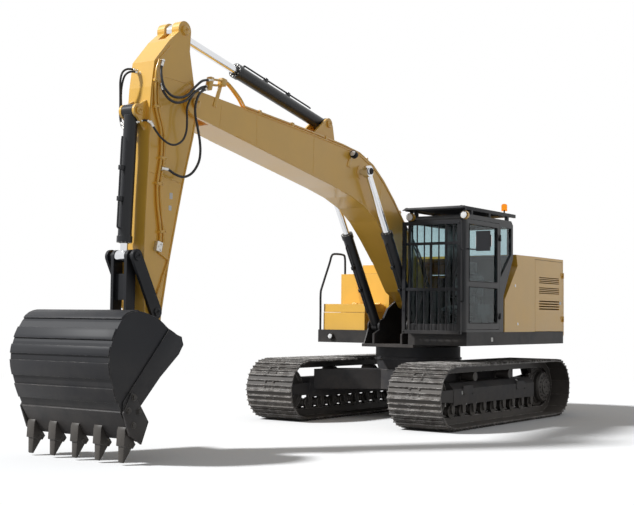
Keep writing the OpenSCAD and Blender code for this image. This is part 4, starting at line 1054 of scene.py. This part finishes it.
class EXCAVATOR_OT_bucket(bpy.types.Operator):
    """Add the bucket's wear strips, edge plates, side cutters and toothed adapters"""
    bl_idname = "excavator.bucket"
    bl_label = "Dress the bucket"

    def execute(self, context):
        curve = smooth_line([Vector((s, t, 0)) for s, t in SHELL], SHELL_STEPS)
        middle = on_bucket(*SHELL_CENTRE.xy, 0.3)
        reach = []
        for spot in curve:
            out = (on_bucket(*spot.xy, 0.3) - middle).normalized()
            reach.append((touch(middle + out * 2, -out, ["bucket"])[0] - middle).length)

        def off(i, t):
            return (SHELL_CENTRE + (curve[i] - SHELL_CENTRE).normalized() * (reach[i] + t)).xy

        plates = []
        for first, last in WEAR_STRIPS:
            inner = [off(i, -0.002) for i in range(first, last + 1)]
            outer = [off(i, STRIP_HEIGHT) for i in range(last, first - 1, -1)]
            plates.append(plate_of(inner + outer, on_bucket, -BUCKET_HALF + 0.002, BUCKET_HALF - 0.002))
        for side in (1, -1):
            plates.append(plate_of(EDGE_PLATE, on_bucket, side * (BUCKET_HALF - 0.001),
                                   side * (BUCKET_HALF + 0.016)))
            plates.append(plate_of(SIDE_CUTTER, on_bucket, side * (BUCKET_HALF + 0.015),
                                   side * (BUCKET_HALF + 0.039), 0.005))
        fitted(joined(plates), "bucket_wear_plates", "bucket", "bucket")
        places = [(on_bucket(s, t, side * (BUCKET_HALF + 0.038)), Vector((0, side, 0)), 0.3)
                  for side in (1, -1) for s, t in CUTTER_BOLTS]
        fitted(repeated(bolt_head(0.052, 0.022), places), "cutter_bolts", "bucket", "worn steel")
        lip, top = curve[-1], len(curve) - ADAPTER_STEPS
        adapter = [off(k, STRIP_HEIGHT - 0.001) for k in range(top, len(curve))]
        adapter += [(lip.x + s, lip.y + t) for s, t in ADAPTER_TOE]
        adapter += [off(top, rise) for rise in ADAPTER_TOP]
        heel, *back = [(lip.x + s, lip.y + t) for s, t in TOOTH_HEEL]
        tooth = [heel, (TOOTH_TIP - 0.002, -0.012), (TOOTH_TIP, 0.008), *back]
        way = (on_bucket(1, 0, 0) - BUCKET_PIN).normalized()
        pieces = []
        for i in range(TEETH):
            y = (BUCKET_HALF - TOOTH_EDGE) * (2 * i / (TEETH - 1) - 1)
            pieces.append(plate_of(adapter, on_bucket, y - 0.055, y + 0.055, 0.008))
            tip = plate_of(tooth, on_bucket, y - 0.050, y + 0.050, 0.004)
            for vertex in tip.data.vertices:
                out = ((vertex.co - BUCKET_PIN).dot(way) - lip.x) / (TOOTH_TIP - lip.x)
                vertex.co.y = y + (vertex.co.y - y) * (1 - TOOTH_TAPER * max(0.0, out))
            heads = [(on_bucket(lip.x + 0.072, lip.y, y + k * 0.055), Vector((0, k, 0))) for k in (1, -1)]
            pieces += [tip, repeated(bolt_head(0.034, 0.010, washer=False), heads)]
        teeth = fitted(joined(pieces), "bucket_tips", "bucket", "worn steel")
        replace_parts(teeth, "bucket_teeth")
        return {"FINISHED"}


# Pipes of the arm

# Front pipe's line as x, z in the row frame; the rear one runs behind it from its third point on
ARM_PIPE = [(6.025, 4.297), (6.070, 4.180), (6.082, 4.052), (6.074, 3.772), (5.979, 3.491), (5.972, 3.210),
            (6.022, 2.924), (6.010, 2.690), (5.960, 2.400), (5.965, 2.255)]
PIPE_GAP = 0.046
# Points of that line that have clamps, and a clamp's corners
ARM_CLAMPS = (2, 3, 5, 6, 8)
CLAMP = ((-0.016, -0.050), (0.016, 0.050))
# Valve block's corners and bolts, and the grease pipe's line, as along, up on the arm
VALVE = ((1.69, 0.15), (1.80, 0.235))
VALVE_BOLTS = ((1.712, 0.175), (1.778, 0.175), (1.745, 0.212))
GREASE_PIPE = ((1.80, 0.16), (1.83, 0.05), (1.86, -0.01), (2.05, 0.03), (2.30, 0.08))


class EXCAVATOR_OT_arm_pipes(bpy.types.Operator):
    """Add the arm's two pressure pipes with their clamps, the valve block and the grease pipe"""
    bl_idname = "excavator.arm_pipes"
    bl_label = "Pipe the arm"

    def execute(self, context):
        wall = side_place(on_arm(0.8, 0.2, 0), 1, ["arm"])[0].y
        pieces = []
        for back, first in ((0.0, 0), (PIPE_GAP, 2)):
            line = smooth_line([Vector((x - back, wall + 0.020, z)) for x, z in ARM_PIPE[first:]], 6)
            pieces.append(tube(line, 0.015, 12))
        for i in ARM_CLAMPS:
            (x0, z0), (x, z), (x1, z1) = ARM_PIPE[i - 1:i + 2]
            way = lengthwise(Vector((x - PIPE_GAP / 2, 0, z)), math.atan2(z1 - z0, x1 - x0))
            pieces.append(plate_of(rectangle(*CLAMP), way, wall - SEAT, wall + 0.038))
            heads = [(way(0, k * 0.040, wall + 0.038), LEFT) for k in (-1, 1)]
            pieces.append(repeated(bolt_head(0.018, 0.009), heads))
        fitted(joined(pieces), "arm_pressure_pipes", "arm", "yellow", smooth=45)
        block = plate_of(rectangle(*VALVE), on_arm, wall - SEAT, wall + 0.055, 0.006)
        heads = [(on_arm(s, t, wall + 0.055), LEFT) for s, t in VALVE_BOLTS]
        fitted(joined([block, repeated(bolt_head(0.022, 0.012), heads)]), "arm_valve", "arm", "zinc")
        line = smooth_line([on_arm(s, t, wall + 0.014) for s, t in GREASE_PIPE], 6)
        fitted(tube(line, 0.009, 12), "arm_grease_pipe", "arm", "yellow", smooth=60)
        return {"FINISHED"}


# Cab

# Door windows as their reach in x and z, their corners' radius and their place in y
DOOR_PANES = [((0.097, 0.968), (2.010, 2.808)), ((0.097, 0.968), (1.426, 1.930))]
PANE_CORNER = 0.015
PANE_Y = 1.370
# Seat pads as name, two corners, crown, channels, depth of the channels and filling
SEAT_PADS = [
    ("seat_cushion", (0.05, 0.67, 1.575), (0.545, 1.15, 1.665), 0.012, (-0.45, 0.35), 0.010, 0.8),
    ("seat_backrest", (0.03, 0.68, 1.66), (0.140, 1.14, 2.12), 0.012, (-0.5, 0.0, 0.5), 0.008, 0.8),
    ("seat_headrest", (0.04, 0.79, 2.15), (0.125, 1.03, 2.32), 0.008, (), 0.0, 0.9),
]
# Blocks of the seat's stand as two corners and edge radius: foot, four bellows, pan, then the armrests
SEAT_STAND = [
    ((0.13, 0.78, 1.275), (0.46, 1.04, 1.33), 0.010),
    *(((0.16 + 0.01 * (k % 2), 0.80, 1.33 + k * 0.055), (0.43, 1.02, 1.385 + k * 0.055), 0.012)
      for k in range(4)),
    ((0.06, 0.70, 1.545), (0.53, 1.12, 1.59), 0.014),
    *(((0.10, y, 1.79), (0.42, y + 0.05, 1.835), 0.018) for y in (0.675, 1.095)),
    *(((0.09, y + 0.01, 1.60), (0.13, y + 0.04, 1.80), 0.008) for y in (0.675, 1.095)),
]
# Posts of the headrest as x, their two places across and their two heights
HEADREST_POSTS = (0.085, (0.86, 0.96), (2.10, 2.18))
MIRROR_FACE = (0.245, 0.170, 0.003)
MIRROR_PLACE = Vector((1.0655, 1.64, 2.5525))
WIPER_ARM = [(1.142, 0.60, 1.40), (1.146, 0.66, 1.60), (1.146, 0.78, 1.95), (1.146, 0.86, 2.20)]
WIPER_BLADE = ((1.137, 0.84, 1.88), (1.148, 0.88, 2.52), 0.004)
WIPER_HUB = Vector((1.131, 0.60, 1.40))
# Bolts of the front guard as places in y and z
GUARD_BOLTS = [(y, z) for y in (0.452, 1.334) for z in (1.30, 1.60, 1.90, 2.20, 2.50, 2.81)]
# Grab rail on the guard as x and its line's y, z
RAIL_X = 1.185
RAIL = [(1.355, 2.44), (1.385, 2.435), (1.402, 2.40), (1.402, 2.10), (1.402, 1.76), (1.385, 1.725),
        (1.355, 1.72)]


def pane_line(across, upward):
    """Closed line round a door window with rounded corners."""
    (x0, x1), (z0, z1), corner = across, upward, PANE_CORNER
    line = []
    for cx, cz, start in ((x1 - corner, z1 - corner, 0), (x0 + corner, z1 - corner, 90),
                          (x0 + corner, z0 + corner, 180), (x1 - corner, z0 + corner, 270)):
        for a in (math.radians(start + 15 * k) for k in range(7)):
            line.append(Vector((cx + corner * math.cos(a), PANE_Y, cz + corner * math.sin(a))))
    return line


def cushion(low, high, crown, channels, seam):
    """Crowned pad between two corners: sides pull in, and sewn channels run across its length."""
    fresh()
    low, high = Vector(low), Vector(high)
    half, middle = (high - low) / 2, (high + low) / 2
    bpy.ops.mesh.primitive_cube_add(size=2)
    piece = bpy.context.object
    pick(piece)
    bpy.ops.mesh.subdivide(number_cuts=19)
    bpy.ops.object.mode_set(mode="OBJECT")
    thin = min(range(3), key=lambda axis: half[axis])
    long, wide = [axis for axis in range(3) if axis != thin]
    for vertex in piece.data.vertices:
        u = vertex.co.copy()
        round_off = (1 - 0.5 * abs(u[long]) ** 8) * (1 - 0.5 * abs(u[wide]) ** 8)
        swell = crown * (1 - u[long] ** 2) * (1 - u[wide] ** 2)
        groove = sum(math.exp(-((u[long] - c) / 0.03) ** 2) for c in channels) * seam
        bulge = math.copysign(swell - groove, u[thin]) * abs(u[thin])
        out = Vector((0, 0, 0))
        out[thin] = u[thin] * (half[thin] * round_off) + bulge
        for axis, other in ((long, wide), (wide, long)):
            pull = 1 - 0.035 * (1 - u[thin] ** 2 * 0.4) * (1 - u[other] ** 2)
            corner = 1 - 0.08 * abs(u[other]) ** 6 * abs(u[axis]) ** 6 - 0.06 * abs(u[thin]) ** 6
            out[axis] = u[axis] * half[axis] * pull * corner
        vertex.co = out + middle
    return applied(piece, "SUBSURF", levels=1, render_levels=1)


class EXCAVATOR_OT_cab(bpy.types.Operator):
    """Fit the cab's seat, door seals, mirror face and wiper, and the front guard's bolts and grab rail"""
    bl_idname = "excavator.cab"
    bl_label = "Fit out the cab"

    def execute(self, context):
        fittings = context.scene.excavator_fittings
        pads = []
        for name, low, high, crown, channels, seam, fill in SEAT_PADS:
            pad = fitted(cushion(low, high, crown, channels, seam), name, "upper", "cloth", smooth=60)
            pads.append(pad)
        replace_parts(pads[0], "operator_seat")
        x, across, heights = HEADREST_POSTS
        posts = [tube([Vector((x, y, z)) for z in heights], 0.007, 12) for y in across]
        fitted(joined([slab(*block) for block in SEAT_STAND] + posts), "seat_stand", "upper", "plastic")
        seals = [tube(pane_line(*pane), fittings.seal / 2, 8, closed=True) for pane in DOOR_PANES]
        fitted(joined(seals), "door_seals", "cab_door", "rubber", smooth=60)
        mirror = repeated(blank_plate(*MIRROR_FACE), [(MIRROR_PLACE, BACK)])
        fitted(mirror, "mirror_face", "upper", "mirror")
        arm = tube(smooth_line([Vector(p) for p in WIPER_ARM], 6), 0.006, 8)
        hub = repeated(turned(0.022, 0.018, 20, (0.005, 0.004)), [(WIPER_HUB, AHEAD)])
        fitted(joined([arm, slab(*WIPER_BLADE), hub]), "windscreen_wiper", "upper", "plastic")
        places = [(touch(Vector((1.3, y, z)), BACK, ["front_guard"])[0], AHEAD) for y, z in GUARD_BOLTS]
        fitted(repeated(bolt_head(fittings.bolt * SMALL_BOLT, 0.010), places), "guard_bolts", "upper",
               "black")
        rail = smooth_line([Vector((RAIL_X, y, z)) for y, z in RAIL], 5)
        fitted(tube(rail, 0.012, 12), "guard_grab_rail", "upper", "black", smooth=60)
        return {"FINISHED"}


# Roof guard: its reach in x, its side beams' in y and its beams' in z
ROOF_X, ROOF_BEAMS, ROOF_Z = (-0.545, 1.168), ((0.450, 0.485), (1.325, 1.360)), (3.000, 3.052)
ROOF_POSTS, POST_FOOT = (-0.30, 0.30, 0.85), 2.9403
# Slats' count and where they end, the lamp bar's reach in x and y, and its height
ROOF_SLATS, SLATS_END = 13, 1.120
LAMP_BAR = ((1.120, 1.160), (0.450, 1.400), 0.036)
# Side views of a slat, from its own x, and of the visor, both over the beams' lower face
SLAT = [(0.020, 0.010), (0.080, 0.026), (0.080, 0.034), (0.020, 0.018)]
VISOR = [(1.156, 0.016), (1.245, 0.002), (1.245, 0.014), (1.156, 0.050)]
BEACON_PAD = 0.01
BEACON_DOME_LIFT = 0.088


def flat(x, z, y):
    """Place function of a side view in the row frame itself."""
    return Vector((x, y, z))


class EXCAVATOR_OT_roof(bpy.types.Operator):
    """Build the slatted roof guard with its posts, lamp bar and visor, and the beacon"""
    bl_idname = "excavator.roof"
    bl_label = "Build the roof guard"

    def execute(self, context):
        (x0, x1), (z0, z1) = ROOF_X, ROOF_Z
        pieces = []
        for y0, y1 in ROOF_BEAMS:
            pieces.append(slab((x0, y0, z0), (x1, y1, z1), 0.005))
            for x in ROOF_POSTS:
                pieces.append(slab((x, y0 - 0.005, POST_FOOT), (x + 0.06, y1 + 0.005, z0 + 0.004), 0.004))
        inner = ROOF_BEAMS[0][1] - 0.001, ROOF_BEAMS[1][0] + 0.001
        pitch = (SLATS_END - x0) / ROOF_SLATS
        for x in (x0 + i * pitch for i in range(ROOF_SLATS)):
            pieces.append(plate_of([(x + s, z0 + t) for s, t in SLAT], flat, *inner, 0.002))
        bar_x, bar_y, height = LAMP_BAR
        pieces.append(slab((bar_x[0], bar_y[0], z0), (bar_x[1], bar_y[1], z0 + height), 0.004))
        pieces.append(plate_of([(x, z0 + t) for x, t in VISOR], flat, *bar_y, 0.003))
        low, high = (Vector(corner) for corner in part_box("beacon"))
        pieces.append(slab((low.x - BEACON_PAD, low.y - BEACON_PAD, z0 + 0.005),
                           (high.x + BEACON_PAD, high.y + BEACON_PAD, low.z), 0.004))
        guard = fitted(joined(pieces), "roof_grille", "upper", "black")
        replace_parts(guard, "roof_guard")
        foot = Vector(((low.x + high.x) / 2, (low.y + high.y) / 2, low.z))
        stem = turned(0.012, 0.060, 16, (-0.030, 0.0), (0.001, 0.030), (0.006, 0.0))
        fitted(repeated(stem, [(foot, UP)]), "beacon_stem", "upper", "plastic")
        dome = turned(0.044, 0.085, 32, (0.004, 0.010), (0.008, 0.008), (0.010, 0.005), (0.012, 0.002))
        dome = repeated(dome, [(foot + UP * BEACON_DOME_LIFT, UP)])
        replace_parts(fitted(dome, "beacon_dome", "upper", "amber", smooth=60), "beacon")
        return {"FINISHED"}


# Lamps as the lens's middle, radius, facing direction, body and the can's finish
LAMPS = [
    (Vector((1.197, 0.545, 2.914)), 0.050, AHEAD, "upper", "yellow"),
    (Vector((1.197, 1.400, 2.914)), 0.050, AHEAD, "upper", "yellow"),
    (on_boom(2.674, 1.004, 0.27), 0.042, on_boom(1, 0, 0) - on_boom(0, 0, 0), "boom", "black"),
]
# Start of the line that seats the lamp on the deck, its radius and how far its lens stands out
DECK_LAMP = (Vector((2.0, -1.12, 1.200)), 0.040, 0.044)
# Places across of the roof lamps' brackets, and their corners about those places
ROOF_BRACKETS = (0.545, 1.388)
ROOF_BRACKET = ((1.124, -0.018, 2.890), (1.170, 0.018, 3.004))
# Boom lamp's bracket: side view of its plate and corners of its foot, each with its places across
LAMP_PLATE = ([(2.594, 0.834), (2.674, 0.814), (2.664, 1.024), (2.624, 1.024)], 0.2145, 0.225)
LAMP_FOOT = (rectangle((2.624, 0.990), (2.650, 1.018)), 0.224, 0.272)
# Rings of a lens as share of its radius and rise
LENS_RINGS = ((0.10, 0.002), (0.25, 0.002), (0.25, 0.0012), (0.15, 0.0006))


class EXCAVATOR_OT_lamps(bpy.types.Operator):
    """Fit the work lamps with their brackets, cans, bezels and ringed lenses"""
    bl_idname = "excavator.lamps"
    bl_label = "Fit the lamps"

    def execute(self, context):
        low, high = (Vector(corner) for corner in ROOF_BRACKET)
        brackets = [slab(low + LEFT * y, high + LEFT * y, 0.004) for y in ROOF_BRACKETS]
        fitted(joined(brackets), "roof_lamp_brackets", "upper", "black")
        bracket = [plate_of(outline, on_boom, *across) for outline, *across in (LAMP_PLATE, LAMP_FOOT)]
        fitted(joined(bracket), "boom_lamp_bracket", "boom", "yellow")
        start, radius, out = DECK_LAMP
        front, _, _ = touch(start, BACK, ["revolving_frame", "fuel_tank"])
        deck_lamp = (front + AHEAD * out, radius, AHEAD, "upper", "black")
        for i, (place, radius, way, body, painted) in enumerate([*LAMPS, deck_lamp]):
            can = turned(radius + 0.008, 0.044, 32, (radius * 0.45, 0.010), test=bottom_face)
            stepped(can, (0.007, 0.0), (0.001, -0.006))
            fitted(repeated(can, [(place - way * 0.038, way)]), f"lamp_can_{i}", body, painted)
            rings = [(radius * share, rise) for share, rise in LENS_RINGS]
            lens = turned(radius - 0.001, 0.003, 40, *rings)
            fitted(repeated(lens, [(place, way)]), f"lamp_lens_{i}", body, "lens", smooth=40)
            bezel = ring(radius + 0.003, 0.0035, 40)
            fitted(repeated(bezel, [(place + way * 0.008, way)]), f"lamp_bezel_{i}", body, "plastic")
        return {"FINISHED"}


# Covers

# Blank plates as width, height, starting point and direction of the line that seats them
BLANKS = [
    (0.070, 0.050, on_arm(1.135, 0.095, 1.0), RIGHT),
    (0.055, 0.045, on_arm(1.270, 0.080, 1.0), RIGHT),
    (0.060, 0.060, Vector((0.258, 2.0, 1.190)), RIGHT),
    (0.050, 0.080, Vector((-2.18, 2.0, 1.75)), RIGHT),
    (0.050, 0.060, Vector((1.10, 2.2, 0.47)), RIGHT),
    (0.050, 0.060, Vector((-0.72, 2.2, 0.57)), RIGHT),
]
# Tread plates as their reach in x and y, and the share of it at which their bolts stand
TREADS = [(-0.50, 0.02, -1.02, -0.56), (-1.12, -0.62, -1.06, -0.56)]
TREAD_BOLTS = 0.86
TREAD_THICKNESS = 0.005
# Locks of the side doors as x, z and side
COVER_LOCKS = [(-0.507, 1.986, 1), (-0.596, 1.416, 1)]


class EXCAVATOR_OT_covers(bpy.types.Operator):
    """Add blank plates, tread plates and locks to the covers"""
    bl_idname = "excavator.covers"
    bl_label = "Trim the covers"

    def execute(self, context):
        for i, (width, height, start, way) in enumerate(BLANKS):
            place, normal, name = touch(start, way)
            fitted(repeated(blank_plate(width, height, 0.0015), [(place, normal, math.pi / 2)]),
                   f"blank_plate_{i}", BODY_OF[name], "white")
        for i, (x0, x1, y0, y1) in enumerate(TREADS):
            above = Vector(((x0 + x1) / 2, (y0 + y1) / 2, 4.0))
            place, _, name = touch(above, DOWN, ["fuel_tank", "hydraulic_tank"])
            plate = blank_plate(x1 - x0, y1 - y0, TREAD_THICKNESS)
            x, y = (x1 - x0) / 2 * TREAD_BOLTS, (y1 - y0) / 2 * TREAD_BOLTS
            heads = repeated(bolt_head(0.018, 0.007), [
                (Vector((kx * x, ky * y, TREAD_THICKNESS)), UP) for kx in (-1, 1) for ky in (-1, 1)])
            fitted(repeated(joined([plate, heads]), [(place, UP)]), f"tread_plate_{i}", BODY_OF[name],
                   "tread")
        places = [side_place(Vector((x, 0, z)), side)[:2] for x, z, side in COVER_LOCKS]
        lock = turned(0.022, 0.006, 28, (0.004, 0.002), (0.008, -0.003))
        fitted(repeated(lock, places), "cover_locks", "upper", "zinc")
        return {"FINISHED"}


# Studio

# Camera that was solved for the photograph
CAMERA_PLACE = Vector((15.2848, 8.8209, 1.4754))
CAMERA_YAW, CAMERA_PITCH, CAMERA_ROLL = 3.75311, 0.056559, 0.011075
PHOTO_WIDTH, FOCAL_PIXELS, SENSOR = 634, 1152.18, 36.0
SUN_ANGLE = math.radians(6)
FLOOR_DROP = 0.004
# Distances at which the floor begins to fade into the sky and is gone
FLOOR_FADE = (7.0, 13.0)


def pointing(azimuth, height):
    """Unit vector at an azimuth from the machine's front and a height over the horizon."""
    return Vector((math.cos(height) * math.cos(azimuth), math.cos(height) * math.sin(azimuth),
                   math.sin(height)))


def photo_camera():
    """Camera that stands where the photograph was taken from."""
    forward = pointing(CAMERA_YAW, CAMERA_PITCH)
    level_right = forward.cross(UP).normalized()
    level_up = level_right.cross(forward)
    right = level_right * math.cos(CAMERA_ROLL) + level_up * math.sin(CAMERA_ROLL)
    up = level_up * math.cos(CAMERA_ROLL) - level_right * math.sin(CAMERA_ROLL)
    data = bpy.data.cameras.new("photo_camera")
    data.sensor_width = SENSOR
    data.lens = FOCAL_PIXELS / PHOTO_WIDTH * SENSOR
    data.clip_end = 500
    camera = bpy.data.objects.new("photo_camera", data)
    bpy.context.scene.collection.objects.link(camera)
    turn = Matrix((right, up, -forward)).transposed().to_4x4()
    camera.matrix_world = Matrix.Translation(CAMERA_PLACE) @ turn
    bpy.context.scene.camera = camera


def seen_or_mirrored(tree):
    """Factor of 1 for camera, glossy and transmission rays."""
    path = add_node(tree, "ShaderNodeLightPath").outputs
    rays = ("Is Camera Ray", "Is Glossy Ray", "Is Transmission Ray")
    return combine(tree, "MAXIMUM", *(path[ray] for ray in rays))


class EXCAVATOR_OT_studio(bpy.types.Operator):
    """Add the camera, the sun, the sky and the floor"""
    bl_idname = "excavator.studio"
    bl_label = "Build the studio"

    def execute(self, context):
        studio = context.scene.excavator_studio
        photo_camera()
        context.scene.view_settings.view_transform = "Standard"
        sun = bpy.data.lights.new("sun", "SUN")
        sun.energy = studio.sun_strength
        sun.angle = SUN_ANGLE
        lamp = bpy.data.objects.new("sun", sun)
        context.scene.collection.objects.link(lamp)
        towards = pointing(studio.sun_azimuth, studio.sun_height)
        lamp.rotation_euler = towards.to_track_quat("Z", "Y").to_euler()
        world = bpy.data.worlds.new("studio_sky")
        world.use_nodes = True
        context.scene.world = world
        tree = world.node_tree
        wired(tree, tree.nodes["Background"], Color=(1, 1, 1),
              Strength=ramp(tree, seen_or_mirrored(tree), 0, 1, studio.sky_level, 1.0))
        fresh()
        bpy.ops.mesh.primitive_circle_add(
            vertices=96, radius=studio.floor_radius, fill_type="NGON", location=(0, 0, -FLOOR_DROP))
        floor = context.object
        floor.name = "studio_floor"
        tree, ground = shaded("studio_floor")
        seen = seen_or_mirrored(tree)
        wired(tree, ground, Roughness=0.9, Specular_IOR_Level=0.0,
              Base_Color=mix_colour(tree, seen, (0.40, 0.40, 0.41), (0.95, 0.96, 0.97)))
        white = wired(tree, add_node(tree, "ShaderNodeEmission"),
                      Strength=ramp(tree, seen, 0, 1, studio.sky_level, 1.0))
        distance = add_node(tree, "ShaderNodeVectorMath", operation="LENGTH")
        feed(tree, distance.inputs[0], object_space(tree))
        blend = wired(tree, add_node(tree, "ShaderNodeMixShader"),
                      Fac=ramp(tree, distance.outputs["Value"], *FLOOR_FADE))
        feed(tree, blend.inputs[1], ground.outputs["BSDF"])
        feed(tree, blend.inputs[2], white.outputs["Emission"])
        wired(tree, tree.nodes["Material Output"], Surface=blend.outputs["Shader"])
        floor.data.materials.append(bpy.data.materials["studio_floor"])
        return {"FINISHED"}


class EXCAVATOR_PT_panel(bpy.types.Panel):
    """Steps that dress the excavator"""
    bl_idname = "EXCAVATOR_PT_panel"
    bl_label = "Excavator"
    bl_space_type = "VIEW_3D"
    bl_region_type = "UI"
    bl_category = "Excavator"

    def draw(self, context):
        scene = context.scene
        for group in (scene.excavator_finishes, scene.excavator_fittings, scene.excavator_studio):
            box = self.layout.box()
            for name in group.__annotations__:
                box.prop(group, name)
        for step in STEPS:
            self.layout.operator(step.bl_idname)


STEPS = (EXCAVATOR_OT_studio, EXCAVATOR_OT_finishes, EXCAVATOR_OT_hoses, EXCAVATOR_OT_undercarriage,
         EXCAVATOR_OT_linkage, EXCAVATOR_OT_bucket, EXCAVATOR_OT_arm_pipes, EXCAVATOR_OT_cab,
         EXCAVATOR_OT_roof, EXCAVATOR_OT_lamps, EXCAVATOR_OT_covers)
GROUPS = {"excavator_finishes": ExcavatorFinishes, "excavator_fittings": ExcavatorFittings,
          "excavator_studio": ExcavatorStudio}
CLASSES = (*GROUPS.values(), *STEPS, EXCAVATOR_PT_panel)


def register():
    for cls in CLASSES:
        bpy.utils.register_class(cls)
    for name, group in GROUPS.items():
        setattr(bpy.types.Scene, name, PointerProperty(type=group))


def unregister():
    for name in GROUPS:
        delattr(bpy.types.Scene, name)
    for cls in reversed(CLASSES):
        bpy.utils.unregister_class(cls)


def main():
    register()
    for step in STEPS:
        group, name = step.bl_idname.split(".")
        getattr(getattr(bpy.ops, group), name)()


if __name__ == "__main__":
    main()
